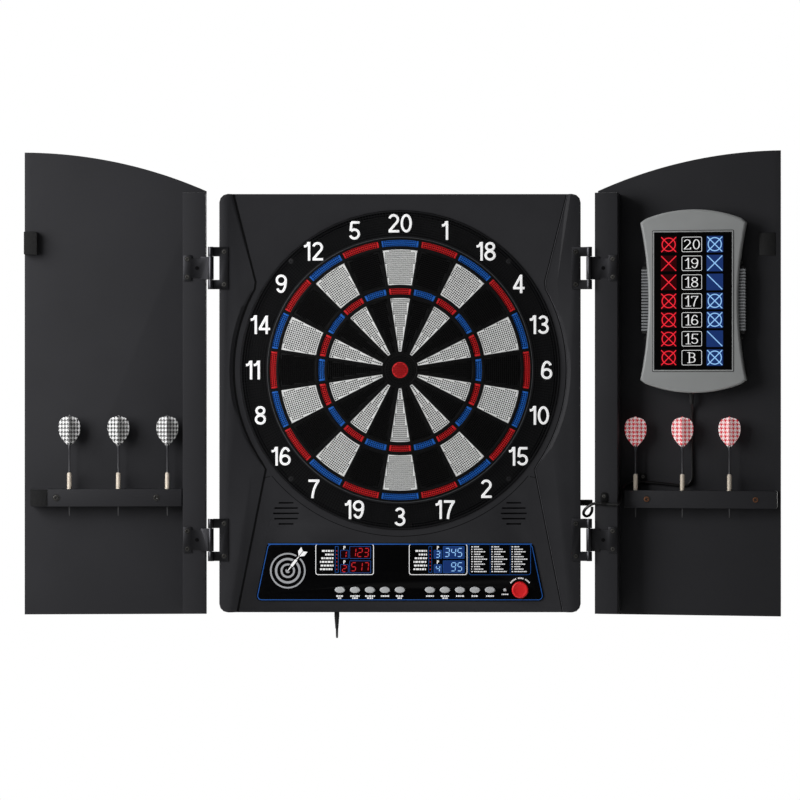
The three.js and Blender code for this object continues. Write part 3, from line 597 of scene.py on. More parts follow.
# %% Target finishes
segment_finish = {
    # The white segments' faint emission is painted light.
    "white": finish("segment_white", "segment_white", (246, 247, 246), 0.45, 0.7, 0.02, 0.03,
                    Emission_Color=(1, 1, 1, 1), Emission_Strength=0.04),
    "black": finish("segment_black", "segment_black", (10, 10, 11), 0.5, 0.7, 0.02,
                    Specular_IOR_Level=0.2),
    "red": finish("segment_red", "segment_red", (226, 30, 36), 0.45, 0.7, 0.02, 0.08),
    "blue": finish("segment_blue", "segment_blue", (30, 110, 212), 0.45, 0.7, 0.02, 0.08),
}
# The white ink glows; that emission is painted light on the printed numbers and labels.
white_ink_painted_glow = finish("white_ink_painted_glow", "segment_white", (250, 250, 251), 0.5, 0.5, 0.01, 0.03,
                   Emission_Color=(1, 1, 1, 1), Emission_Strength=0.28)
# The bead's grey is a painted highlight on the catch ring's inner edge.
rim_painted_highlight = finish("rim_painted_highlight", "ring_plastic", (66, 68, 71), 0.5, 0.6, 0.02)
print(len(segment_finish), "segment colours")

# %% [markdown]
# A segment is a wedge between two radii. Its sides run parallel to the lines between the
# numbers, which leaves the web of the spider the same width all the way in. The face is
# pierced by square holes that hold a soft tip. On the two big fields the holes stand in a
# straight grid about the segment's own middle; on the narrow double and treble bands they
# follow the curve in three rows.

# %% Segment outlines
NUMBERS = [20, 1, 18, 4, 13, 6, 10, 15, 2, 17, 3, 19, 7, 16, 8, 11, 14, 9, 12, 5]
BANDS = {"double_ring": (188, 197), "outer_single_ring": (129.4, 182.6),
         "triple_ring": (115, 123.7), "inner_single_ring": (28, 109)}
CARRIERS = {"double_ring": (186.5, 198.5), "outer_single_ring": (128, 184),
            "triple_ring": (113.5, 125.5), "inner_single_ring": (27, 110.5)}
FACE, CARRIER, CARRIER_BACK = -59, -49.6, -47.6
SECTOR = 18
RAY_GAP, WEB_GAP = 2.35, 0.5
PITCH, HOLE, MARGIN = 3.03, 2.12, 0.5


def half_turn(radius, gap):
    return SECTOR / 2 - math.degrees(math.asin(gap / radius))


def cell(inner, outer, gap, steps=6):
    wide, narrow = half_turn(outer, gap), half_turn(inner, gap)
    return arc(outer, 90 - wide, 90 + wide, steps) + arc(inner, 90 + narrow, 90 - narrow, steps)


def square(x, z, angle=0.0):
    """A hole, turned with the direction that it faces."""
    c, s = math.cos(angle) * HOLE / 2, math.sin(angle) * HOLE / 2
    return [(x - c + s, z - s - c), (x - c - s, z - s + c), (x + c - s, z + s + c),
            (x + c + s, z + s - c)]


def straight_holes(inner, outer):
    rows = int((outer - inner - 2 * MARGIN - HOLE) / PITCH) + 1
    first = (inner + outer - PITCH * (rows - 1)) / 2
    ray = math.radians(SECTOR / 2)
    holes = []
    for row in range(rows):
        z = first + row * PITCH
        low, high = z - HOLE / 2, z + HOLE / 2
        for column in range(-9, 10):
            x = column * PITCH
            side = abs(x) + HOLE / 2
            to_ray = low * math.sin(ray) - side * math.cos(ray)
            if to_ray > RAY_GAP + MARGIN and math.hypot(side, high) < outer - MARGIN:
                holes.append(square(x, z))
    return holes


def curved_holes(inner, outer):
    middle = (inner + outer) / 2
    step = PITCH / middle
    holes = []
    for row in (-1, 0, 1):
        radius = middle + row * (outer - inner - 2 * MARGIN - HOLE) / 2
        room = math.radians(half_turn(radius, RAY_GAP)) - (MARGIN + HOLE / 2) / radius
        count = int(room / step)
        for column in range(-count, count + 1):
            angle = column * step
            holes.append(square(radius * math.sin(angle), radius * math.cos(angle), -angle))
    return holes


def piercing(ring):
    holes = curved_holes if ring in ("double_ring", "triple_ring") else straight_holes
    return holes(*BANDS[ring])


print({ring: len(piercing(ring)) for ring in BANDS}, "holes in a segment")

# %% [markdown]
# The twenty segments of a ring are one mould turned round the bull, so each ring's mesh is
# made once and copied. White and black fields take turns; the bands are blue and red the other
# way about. Each ring is carried by a plate behind it, which also closes the holes.

# %% Segments
def shade_of(ring, sector):
    pale = sector % 2 == 0
    if ring == "double_ring":
        return "blue" if pale else "red"
    if ring == "triple_ring":
        return "red" if pale else "blue"
    return "white" if pale else "black"


for ring, (inner, outer) in BANDS.items():
    mould = plate([cell(inner, outer, RAY_GAP), *piercing(ring)], FACE, CARRIER, 0.14)
    for sector, number in enumerate(NUMBERS):
        mesh = mould.copy()
        mesh.transform(Matrix.Rotation(math.radians(SECTOR * sector), 4, "Y"))
        name = ring.replace("ring", str(number))
        add(name, mesh, segment_finish[shade_of(ring, sector)], body=ring, stands_for=[ring])
    low, high = CARRIERS[ring]
    backing = plate([circle(high, 120), circle(low, 120)], CARRIER, CARRIER_BACK, 0.2)
    add(ring + "_carrier", backing, web_black, body=ring, stands_for=[ring])
    print(ring, "segment:", len(mould.polygons), "faces")

# %% [markdown]
# The bull is two parts, a ring and a button that stands a little prouder. The ring is stepped
# behind, to leave room for the button's flange when the ring alone is pressed.

# %% Bull
rings_of_holes = [(16.1, 26), (20.3, 33)]
bull_holes = []
for radius, count in rings_of_holes:
    for i in range(count):
        turn = 2 * math.pi * i / count
        bull_holes.append(square(radius * math.sin(turn), radius * math.cos(turn), -turn))
STEP = CARRIER - 1.6
outer_bull = [plate([circle(24, 64), circle(12.6, 48), *bull_holes], FACE, STEP, 0.14),
              plate([circle(24, 64), circle(15, 48)], STEP, CARRIER),
              plate([circle(26, 48), circle(15, 48)], CARRIER, CARRIER_BACK)]
add("bull_ring", joined(outer_bull), segment_finish["black"], body="outer_bull",
    stands_for=["outer_bull"])
grid = [(i * PITCH, j * PITCH) for i in range(-3, 4) for j in range(-3, 4)]
pins = [square(x, z) for x, z in grid if math.hypot(x, z) < 10]
inner_bull = [plate([circle(12, 48), *pins], FACE - 0.6, CARRIER, 0.14),
              plate([circle(14.3, 48)], CARRIER, CARRIER_BACK)]
add("bull_button", joined(inner_bull), segment_finish["red"], body="inner_bull",
    stands_for=["inner_bull"])
print(len(bull_holes) + len(pins), "holes in the bull")

# %% [markdown]
# The spider is the black web between the segments. It is one disc with a window for every
# segment, half a millimetre larger all round, and its edges are rounded so that tips slide off.

# %% Spider
windows = []
for inner, outer in BANDS.values():
    pane = cell(inner - WEB_GAP, outer + WEB_GAP, RAY_GAP - WEB_GAP)
    for sector in range(len(NUMBERS)):
        turn = math.radians(SECTOR * sector)
        windows.append([(x * math.cos(turn) + z * math.sin(turn),
                         z * math.cos(turn) - x * math.sin(turn)) for x, z in pane])
windows.append(circle(24 + WEB_GAP, 60))
spider = plate([circle(199.6, 160), *windows], -60, -50, 0.3, 2)
add("spider_web", spider, web_black, stands_for=["spider_frame"])
print("spider has", len(windows), "windows")

# %% [markdown]
# The ring round the target catches stray darts. Its holes are oblong and follow the circle, so
# a curve fill would be slow, and the mesh is written cell by cell: four faces round each hole
# in front, four behind and four walls between them. A thin bead lines its inner edge, and its
# grey is a painted highlight for the light that the rim's edge catches.

# %% Catch ring
def pierced_ring(inner, outer, rows, columns, front, back, long, share):
    """Each hole is long mm along the radius and takes that share of its column's width."""
    corners, faces = [], []
    pitch = (outer - inner) / rows
    step = 2 * math.pi / columns

    def at(radius, angle, depth):
        corners.append((radius * math.sin(angle) * MM, depth * MM, radius * math.cos(angle) * MM))
        return len(corners) - 1

    net = {depth: [[at(inner + r * pitch, c * step, depth) for c in range(columns)]
                   for r in range(rows + 1)] for depth in (front, back)}
    for r in range(rows):
        middle = inner + (r + 0.5) * pitch
        for c in range(columns):
            rims = {}
            for depth in (front, back):
                a, b = (c + 0.5 - share / 2) * step, (c + 0.5 + share / 2) * step
                rims[depth] = [at(middle - long / 2, a, depth), at(middle - long / 2, b, depth),
                               at(middle + long / 2, b, depth), at(middle + long / 2, a, depth)]
                after = (c + 1) % columns
                frame_corners = [net[depth][r][c], net[depth][r][after],
                                 net[depth][r + 1][after], net[depth][r + 1][c]]
                for i in range(4):
                    j = (i + 1) % 4
                    face = [frame_corners[i], frame_corners[j], rims[depth][j], rims[depth][i]]
                    faces.append(face if depth == front else face[::-1])
            for i in range(4):
                j = (i + 1) % 4
                faces.append([rims[front][i], rims[front][j], rims[back][j], rims[back][i]])
    mesh = bpy.data.meshes.new("pierced_ring")
    mesh.from_pydata(corners, [], faces)
    return mesh


HOLE_ROWS, HOLE_COLUMNS = 10, 340
web = pierced_ring(203.2, 239.8, HOLE_ROWS, HOLE_COLUMNS, -60, -58.2, 2.95, 0.78)
walls = [(241.6, 47), (241.6, 59.6), (241.2, 60), (239.8, 60), (239.8, 58.2), (239.6, 47)]
lips = [(203.2, 58.2), (203.2, 60), (200.6, 60), (200.2, 59.6), (200.2, 57)]
ring_parts = [web, knob(walls, 0, 0, 160), knob(lips, 0, 0, 160)]
add("catch_ring_grid", joined(ring_parts), ring_black, stands_for=["catch_ring"])
# Painted highlight: a grey bead along the inner edge.
bead = [(201.3, 60.02), (201.1, 60.35), (200.7, 60.45), (200.3, 60.3), (200.2, 60.0)]
add("ring_bead_painted_highlight", knob(bead, 0, 0, 160), rim_painted_highlight)
bosses = [arc(233, a, a, 1)[0] for a in (45, 135, 225, 315)]
add("ring_bosses", joined([plate([circle(4.2, 28, x, z)], -60.15, -58.4, 0.1) for x, z in bosses]),
    ring_black)
screws("ring_screws", bosses, 2.9, -60.9, steel)
print(HOLE_ROWS * HOLE_COLUMNS, "holes in the catch ring")

# %% [markdown]
# The twenty numbers stand upright all round, whatever side of the ring they are on.

# %% Numbers
NUMBER_RADIUS, NUMBER_HEIGHT = 222.2, 28.5
for sector, number in enumerate(NUMBERS):
    turn = math.radians(SECTOR * sector)
    x, z = NUMBER_RADIUS * math.sin(turn), NUMBER_RADIUS * math.cos(turn)
    figure = lettering(str(number), NUMBER_HEIGHT, x, z, -60.7, -59.9, edge=0.1)
    add("number_" + str(number), figure, white_ink_painted_glow)
print("numbers", NUMBER_HEIGHT, "mm high")

# %% [markdown]
# The control panel is one sheet of gloss black plastic with smoked windows over the displays.
# Its printing is modelled as ink, hardly thicker than paper. The maker's sign is left out, and
# a plain target with a dart takes its corner. The lettering of the labels is greeked: short
# bars stand for words, which is how they read from where a player stands.

# %% Panel finishes
gloss = finish("panel_gloss", "overlay", (4, 4, 5), 0.16, 2.0, 0.004, 0.2, 12,
               Specular_IOR_Level=0.25)
blue_ink = finish("blue_ink", "segment_blue", (30, 96, 184), 0.45, 0.5, 0.01, 0.05)
red_glow = finish("red_figures", "display", (190, 30, 36), 0.4, 0.5, 0.005, 0.1, 200,
                  Emission_Color=linear((200, 30, 40)), Emission_Strength=0.4)
pale_glow = finish("pale_figures", "display", (156, 200, 244), 0.4, 0.5, 0.005, 0.05, 200,
                   Emission_Color=linear((130, 190, 244)), Emission_Strength=0.5)
blue_light = finish("blue_backlight", "display", (20, 46, 100), 0.3, 0.5, 0.005, 0.15, 60,
                    Emission_Color=linear((30, 70, 150)), Emission_Strength=0.22)
red_smoke = finish("red_smoke", "display", (34, 6, 9), 0.25, 0.5, 0.005, 0.2, 60,
                   Specular_IOR_Level=0.05)
key_grey = finish("key_grey", "button_grey", (206, 208, 210), 0.5, 0.5, 0.02, 0.06)
start_red = finish("start_red", "start_red", (250, 34, 40), 0.4, 0.7, 0.02, 0.06)
print("panel finishes made")

# %% [markdown]
# The sheet narrows towards the target. It is cut out for the two displays and for every key, so
# that the keys can travel through it.

# %% Panel sheet and windows
PANEL_FACE, PANEL_BACK = -59.1, -58.3
INK = PANEL_FACE - 0.07
WINDOW_X, WINDOW_Z = 70.8, -287
KEY_PITCH, KEY_Z = 22.72, -333
KEYS = [-4, -3, -2, -1, 0, 2, 3, 4, 5, 6]
RESET_X, START_X = 7 * KEY_PITCH, 8 * KEY_PITCH


def panel_outline(inset):
    low, high = 219.3 - inset * 1.15, 201.6 - inset * 1.15
    foot, head = -350.1 + inset, -262.1 - inset
    return rounded([(-low, foot), (low, foot), (high, head), (-high, head)], 8 - inset, 6)


def key_outline(x, grow=0.0):
    return oval(x, KEY_Z, 7.8 + grow, 4.7 + grow)[:-1]


WINDOW_WIDE, WINDOW_TALL = 28, 19.5
panes = [rounded(box(side * WINDOW_X - WINDOW_WIDE, WINDOW_Z - WINDOW_TALL,
                     side * WINDOW_X + WINDOW_WIDE, WINDOW_Z + WINDOW_TALL), 1)
         for side in SIDE.values()]
key_holes = [key_outline(k * KEY_PITCH, 0.5) for k in KEYS]
key_holes += [circle(3.1, 24, RESET_X, KEY_Z), circle(13.1, 48, START_X, KEY_Z)]
sheet = plate([panel_outline(0), *panes, *key_holes], PANEL_FACE, PANEL_BACK, 0.15)
add("panel_sheet", sheet, gloss, stands_for=["control_overlay"])
for name, pane in zip(SIDE, panes):
    add(name + "_window", plate([pane], PANEL_FACE + 0.05, PANEL_BACK - 0.1, 0.05), gloss,
        stands_for=["score_display_" + name])
print("panel sheet has", len(sheet.polygons), "faces")

# %% [markdown]
# Figures on the displays are made of seven bars, leaning a little, as on any such display.

# %% Seven-bar figures
BARS = {"top": (0, 1, 0), "middle": (0, 0, 0), "bottom": (0, -1, 0), "top_left": (-1, 0.5, 1),
        "top_right": (1, 0.5, 1), "low_left": (-1, -0.5, 1), "low_right": (1, -0.5, 1)}
ORDER = ["top", "top_right", "low_right", "bottom", "low_left", "top_left", "middle"]
LIT = {"1": (1, 2), "2": (0, 1, 6, 4, 3), "3": (0, 1, 6, 2, 3), "4": (5, 6, 1, 2),
       "5": (0, 5, 6, 2, 3), "7": (0, 1, 2), "9": (0, 1, 2, 3, 5, 6)}


def seven_bars(figure, x, z, wide, tall, stroke=1.3, lean=0.1):
    outlines = []
    for index in LIT[figure]:
        across, up, upright = BARS[ORDER[index]]
        cx, cz = across * wide / 2, up * tall / 2
        half = (tall / 4 if upright else wide / 2) - stroke * 0.35
        thin = stroke / 2
        bar = [(-half, 0), (-half + thin, -thin), (half - thin, -thin), (half, 0),
               (half - thin, thin), (-half + thin, thin)]
        if upright:
            bar = [(-b, a) for a, b in bar]
        outlines.append([(x + cx + a + lean * (cz + b), z + cz + b) for a, b in bar])
    return outlines


def figures(text, x, z, wide, tall, pitch, stroke=1.3):
    return [bar for i, figure in enumerate(text) if figure != " "
            for bar in seven_bars(figure, x + (i - (len(text) - 1) / 2) * pitch, z, wide, tall, stroke)]


def ink(name, outlines, material, face=INK, where="board", thick=0.06):
    return add(name, plate(outlines, face, face + thick), material, where)


def words(x0, x1, z, height, seed=0):
    """A greeked line of print: bars of a few lengths that fill the line."""
    lengths = (3.1, 1.7, 2.4, 1.2, 2.8, 2.0)
    bars, x, i = [], x0, seed
    while x < x1 - 1:
        long = min(lengths[i % 6] * height / 1.9, x1 - x)
        bars.append(box(x, z - height / 2, x + long, z + height / 2))
        x += long + height * 0.38
        i += 1
    return bars


print("a figure 4 has", len(LIT["4"]), "bars")

# %% [markdown]
# Both displays share a layout: a row of mode names, a strip of mode lamps, the player's number
# and the score, twice over. The left one glows red on black, the right one pale on blue.

# %% Displays
SHOWN = {"left": (("1", "123"), ("2", "517")), "right": (("3", "345"), ("4", " 95"))}
ROWS = (-276.4, -298.1)
FRAME_FOOT, FRAME_HEAD = -310.5, -263.2
white, blue, lamps = [], [], []
for name, side in SIDE.items():
    x = side * WINDOW_X
    white += frame_line(x - 57.3, FRAME_FOOT, x + 31.2, FRAME_HEAD, 1, 4, 3.2)
    for i in range(6):
        line_z = -274 - 5.55 * i
        start = x - 50.4 + (3, 8, 2, 0, 1, 0)[i]
        white += words(start, x - 30, line_z, 2.7, i)
        lamps.append(circle(0.8, 10, x - 25, line_z))
    blue += frame_line(x - 27.6, -306.9, x - 22.4, -266.9, 0.6, 1, 0.6)
    lit = red_glow if name == "left" else pale_glow
    pane_finish = red_smoke if name == "left" else blue_light
    glow, cells = [], []
    for (player, score), digit_z in zip(SHOWN[name], ROWS):
        small = (x - 19.6, digit_z - 9.4, x - 7.2, digit_z + 3.8)
        large = (x - 5.7, digit_z - 9.4, x + 26.7, digit_z + 9.4)
        for left, low, right, high in (small, large):
            blue += frame_line(left, low, right, high, 0.6, 1.2, 0.8)
            cells.append(box(left + 0.6, low + 0.6, right - 0.6, high - 0.6))
        glow += figures(player, x - 13.4, digit_z - 2.8, 5.2, 9.4, 1)
        glow += figures(score, x + 10.2, digit_z, 6.2, 12.4, 9.6, 1.3)
    ink(name + "_cells", cells, pane_finish, INK + 0.02, thick=0.02)
    ink(name + "_figures", glow, lit, INK - 0.04)
for name, side in SIDE.items():
    for level, digit_z in zip(("upper", "lower"), ROWS):
        letter = lettering("P", 5.2, side * WINDOW_X - 13.4, digit_z + 7, INK - 0.05, INK + 0.06, 0.2)
        add(f"player_mark_{name}_{level}", letter, white_ink_painted_glow)
ink("mode_lamps", lamps, red_glow, INK - 0.02)
print("lamps:", len(lamps))

# %% [markdown]
# Beside the displays stands a table of games in three columns, and each key has one or two
# lines under it. The start key's words bend round it.

# %% Game table, key labels and border line
blue += frame_line(104, FRAME_FOOT, 198.2, FRAME_HEAD, 0.7, 4, 3.4)
for column in range(3):
    left = 108 + column * 30.5
    for row in range(11):
        z = -267.8 - row * 3.75
        white += words(left, left + 2.4, z, 1.6, row)
        white += words(left + 4.2, left + 12 + (row * 5) % 13, z, 1.6, row)
    if column:
        blue.append(box(left - 2.2, -308, left - 1.9, -266))
for i, k in enumerate(KEYS):
    x = k * KEY_PITCH
    reach = (5.6, 7, 7.4, 6.2, 6.2, 5.8, 6.4, 6, 5.2, 5.8)[i]
    white += words(x - reach, x + reach, KEY_Z - 9.4, 2.2, i)
    if i in (0, 1, 2, 4, 6):
        white += words(x - reach * 0.6, x + reach * 0.6, KEY_Z - 12.6, 2.2, i + 2)
white += words(RESET_X - 5, RESET_X + 5, KEY_Z - 6.8, 1.7, 3)
letters = [i for i in range(15) if i not in (5, 10)]
for i in letters:
    turn = math.radians(142 - i * 7.4)
    start, end = ((START_X + r * math.cos(turn), KEY_Z + r * math.sin(turn)) for r in (16.6, 18.8))
    white.append(ribbon([start, end], 1.5))
edge_line = panel_outline(2)
ink("panel_border", [ribbon(edge_line + edge_line[:1], 1.1)], blue_ink)
ink("panel_top_line", [ribbon([(-200, -263.6), (200, -263.6)], 1.5)], blue_ink, INK - 0.02)
ink("white_print", white, white_ink_painted_glow)
ink("blue_print", blue, blue_ink)
print("white outlines:", len(white), "blue outlines:", len(blue))

# %% [markdown]
# The emblem is three rings and a dot, with a dart that comes in from the upper right.

# %% Emblem
SIGN_X, SIGN_Z = -170, -304
sign = []
for outer, inner in ((27, 24.6), (19.5, 16), (11, 8)):
    sign += border(circle(outer, 72, SIGN_X, SIGN_Z), circle(inner, 64, SIGN_X, SIGN_Z))
sign.append(circle(3.6, 32, SIGN_X, SIGN_Z))
emblem = finish("emblem_silver", "scoreboard_silver", (190, 192, 196), 0.4, 0.4, 0.01, 0.08)
ink("emblem_rings", sign, emblem)


def slanted(points, turn=-38):
    c, s = math.cos(math.radians(turn)), math.sin(math.radians(turn))
    return [(SIGN_X + x * c - z * s, SIGN_Z + x * s + z * c) for x, z in points]


feather = [(0.5, 27.5), (6, 33), (6, 41), (0.5, 37.5)]
arrow = [slanted([(-0.5, 0), (0.5, 0), (0.9, 8), (-0.9, 8)]),
         slanted(rounded(box(-2, 8.6, 2, 21), 1)), slanted(box(-0.7, 21.6, 0.7, 27)),
         slanted(feather), slanted([(-x, z) for x, z in feather])]
shadow = [slanted(rounded(box(-3.4, 0, 3.4, 29), 1.5))]
ink("emblem_gap", shadow, gloss, INK - 0.03)
ink("emblem_dart", arrow, white_ink_painted_glow, INK - 0.08)
print("emblem outlines:", len(sign) + len(arrow))

# %% [markdown]
# The keys are soft silicone with a rolled edge, so their plates get a round edge almost as
# deep as they stand out. The start key is a shallow dish in a raised lip.

# %% Keys
for i, k in enumerate(KEYS):
    key = f"game_button_{i + 1}"
    cap = plate([key_outline(k * KEY_PITCH)], -61.5, -53.2, 1.5, 5, 60)
    add(f"key_{i + 1}", cap, key_grey, body=key, stands_for=[key])
reset = [(2.5, 53), (2.5, 59.9), (2.2, 60.4), (1.6, 60.6), (0, 60.6)]
add("reset_key", knob(reset, RESET_X, KEY_Z, 24), key_grey, body="reset_button",
    stands_for=["reset_button"])
dish = [(12.5, 53), (12.5, 62), (12.3, 62.9), (11.7, 63.6), (10.8, 64), (9.8, 63.9), (8.6, 63.5),
        (6, 63.1), (3, 62.95), (0, 62.9)]
add("start_key", knob(dish, START_X, KEY_Z, 48, 60), start_red, body="start_button",
    stands_for=["start_button"])
print(len(KEYS) + 2, "keys")

# %% [markdown]
# The doors are arched boards, highest at their free edges, each stiffened by a deep rail beside
# the hinges. They are drawn flat and then put in their places by the door's own matrix.

# %% Doors
REACH, HINGE_TOP, FREE_TOP, PANEL_LOW = 285.2, 274.5, 332.5, -373
RAIL_NEAR, RAIL_FAR, RAIL_FRONT, BOARD = 8, 42.5, 4.5, 52.5
drop, chord = FREE_TOP - HINGE_TOP, REACH - RAIL_NEAR
bow = (chord ** 2 + drop ** 2) / (2 * drop)
sweep = math.degrees(math.asin(chord / bow))
arch = arc(bow, 90, 90 + sweep, 24, REACH, FREE_TOP - bow)
door_outline = [(RAIL_NEAR, PANEL_LOW), (REACH, PANEL_LOW), *arch]


def handed(side, outline):
    return outline if side > 0 else [(-x, z) for x, z in outline][::-1]


for door, side in SIDE.items():
    panel = plate([handed(side, door_outline)], BOARD, 64.5, 0.8, 2)
    add(door + "_door_board", panel, foil, door, [door + "_door_panel"])
    rail_outline = box(RAIL_NEAR, -369, RAIL_FAR, 268.4)
    rail = plate([handed(side, rail_outline)], RAIL_FRONT, BOARD - 0.3, 0.8, 2)
    add(door + "_rail", rail, foil, door, [door + "_door_rail"])
    softened(door + "_dart_rack", 0.6, foil, door + "_rack")
print("arch radius", round(bow), "mm")

# %% [markdown]
# The hinges are bent plate with rolled knuckles, and each leaf has a spare hole in its middle, drawn as a
# dark disc of painted shade.
# The screws are separate pieces, because bare steel heads are what the eye picks out.

# %% Hinges and screws
for door, side in SIDE.items():
    for level, z in (("upper", 154.1), ("lower", -257)):
        place = f"{door}_{level}"
        softened(f"hinge_bracket_{place}", 0.35, steel, f"bracket_{place}")
        softened(f"hinge_leaf_{place}", 0.35, steel, f"leaf_{place}")
        screws(f"bracket_screws_{place}", [(side * 266, z + 24.6), (side * 266, z - 24.6)], 3.1,
               -64.8, screw_steel)
        screws(f"leaf_screws_{place}", [(side * 35.5, z + 13.6), (side * 35.5, z - 13.6)], 3.1,
               1.7, screw_steel, door)
        # The spare hole is a near-black disc on the leaf: painted shade.
        add(f"leaf_hole_painted_shade_{place}", plate([circle(2.8, 24, side * 21, z)], 1.95, 2.4), seam_and_painted_shade, door)
rack_screws = {"left": [(-83.7, -194), (-235.1, -194)], "right": [(84.5, -195.8), (248.3, -195.8)]}
brown_steel = finish("browned_screw", "hinge_steel", (150, 104, 78), 0.4, 0.4, 0.01, Metallic=1.0)
for door, spots in rack_screws.items():
    screws(door + "_rack_screws", spots, 4.1, 26.6, screw_steel if door == "left" else brown_steel, door)
print("hinge and rack screws placed")

# %% [markdown]
# The doors close on hook-and-loop pads: a fuzzy block at the left door's free edge meets a
# smooth pad on the right one, and the racks' ends carry a smaller pair.

# %% Closing pads
block = plate([handed(-1, rounded(box(265, 176, 285.2, 211), 1.5))], 38.2, 52.2, 0.8, 2)
add("closing_block", block, hook_pad, "left", ["closure_block"])
add("rack_hook_pad", plate([handed(-1, rounded(box(249, -206.5, 274.3, -181.2), 1))], 26.6, 27.5, 0.3),
    hook_pad, "left")
smooth_pad = finish("loop_pad", "rubber", (20, 20, 21), 0.5, 1.2, 0.2)
add("door_loop_pad", plate([rounded(box(253, 173.5, 277, 208), 1)], 51.5, 52.5, 0.3), smooth_pad,
    "right")
add("rack_loop_pad", plate([rounded(box(279.5, -207.8, 280.6, -184), 0.4)], 28, 52, 0.3), smooth_pad,
    "right")
print("closing pads placed")

# %% [markdown]
# The scoreboard is a silver moulding with hollow sides and crowned ends. A raised frame runs
# round its screen, and a ribbed grip fills each hollow side.

# %% Scoreboard body
silver = finish("scoreboard_silver", "scoreboard_silver", (160, 162, 162), 0.4, 0.6, 0.03, 0.05, 40)
grip_grey = finish("grip_grey", "scoreboard_silver", (142, 144, 147), 0.5, 0.6, 0.04)
glass = finish("screen_black", "display", (5, 5, 5), 0.16, 2.0, 0.004, 0.2, 20,
               Specular_IOR_Level=0.25)
BOARD_U, BOARD_Z = 155, 104
HALF_WIDE, WAIST, HALF_TALL, SHOULDER = 80, 67.7, 138.7, 125


def bow_radius(half_chord, rise):
    return (half_chord ** 2 + rise ** 2) / (2 * rise)


crown = bow_radius(HALF_WIDE - 8, HALF_TALL - SHOULDER)
crown_turn = math.degrees(math.asin((HALF_WIDE - 8) / crown))
hollow = bow_radius(SHOULDER - 6, HALF_WIDE - WAIST)
hollow_turn = math.degrees(math.asin((SHOULDER - 6) / hollow))
right_side = arc(hollow, 180 + hollow_turn, 180 - hollow_turn, 20, WAIST + hollow, 0)
top_side = arc(crown, 90 - crown_turn, 90 + crown_turn, 16, 0, HALF_TALL - crown)
body_line = right_side + top_side
body_line += [(-x, -z) for x, z in body_line]
body_line = [(BOARD_U + x, BOARD_Z + z) for x, z in body_line]
SCREEN = box(BOARD_U - 58.5, BOARD_Z - 104, BOARD_U + 58.5, BOARD_Z + 104)
SURROUND = rounded(box(BOARD_U - 60.6, BOARD_Z - 106.2, BOARD_U + 60.6, BOARD_Z + 106.2), 1.2)
shell = [plate([body_line], 21.2, 52.2, 4.2, 6, 60), plate([SURROUND, SCREEN], 20.2, 21.6, 0.45, 2)]
add("scoreboard_body", joined(shell), silver, "right", ["scoreboard_shell"])
# A near-black line round the raised frame is painted shade at the frame's foot.
around = rounded(box(BOARD_U - 61, BOARD_Z - 106.6, BOARD_U + 61, BOARD_Z + 106.6), 1.4)
add("surround_painted_shade", plate([ribbon(around + around[:1], 0.9)], 21.1, 21.5), glass, "right")
add("scoreboard_screen", plate([SCREEN], 20.75, 21.6), glass, "right", ["scoreboard_lens"])
grips, cores = [], []
for side in SIDE.values():
    near, far = sorted((BOARD_U + side * 66, BOARD_U + side * 78.4))
    for i in range(21):
        z = BOARD_Z + 2 + (i - 10) * 4.5
        grips.append(plate([rounded(box(near, z - 1.5, far, z + 1.5), 0.8)], 27, 46, 0.7, 2))
    core = rounded(box(near + 1, BOARD_Z - 49, far - 1.6, BOARD_Z + 53), 2)
    cores.append(plate([core], 29, 48, 0.8, 2))
    for z in (BOARD_Z - 55, BOARD_Z + 59):
        post = turned([(3.2, 49), (3.2, 31), (2.6, 30.2), (0, 30.2)][::-1], 20,
                      spot(BOARD_U + side * 71, 0, z) @ Matrix.Rotation(math.radians(-90), 4, "X"))
        cores.append(post)
add("grip_ribs", joined(grips), grip_grey, "right")
add("grip_cores", joined(cores), rubber, "right")
print("grip ribs:", len(grips))

# %% [markdown]
# The screen shows a round in play: seven boxed numbers between two players' marks. A mark
# builds up from one stroke to a cross, and a ring closes it.

# %% Scoreboard print
ROW_PITCH = 28.5
TALLY = [("20", 3, 3), ("19", 2, 2), ("18", 2, 1), ("17", 3, 3), ("16", 3, 3), ("15", 3, 1), ("B", 3, 3)]
SCREEN_INK = 20.69
MARK_X, BOX_X, CELL_X = 118.4, 153.2, 187.7


def mark(x, z, strokes, size, width):
    shapes = [ribbon([(x - size, z + size), (x + size, z - size)], width)]
    if strokes > 1:
        shapes.append(ribbon([(x - size, z - size), (x + size, z + size)], width))
    if strokes > 2:
        shapes += border(circle(size * 0.95, 40, x, z), circle(size * 0.95 - width, 40, x, z))
    return shapes


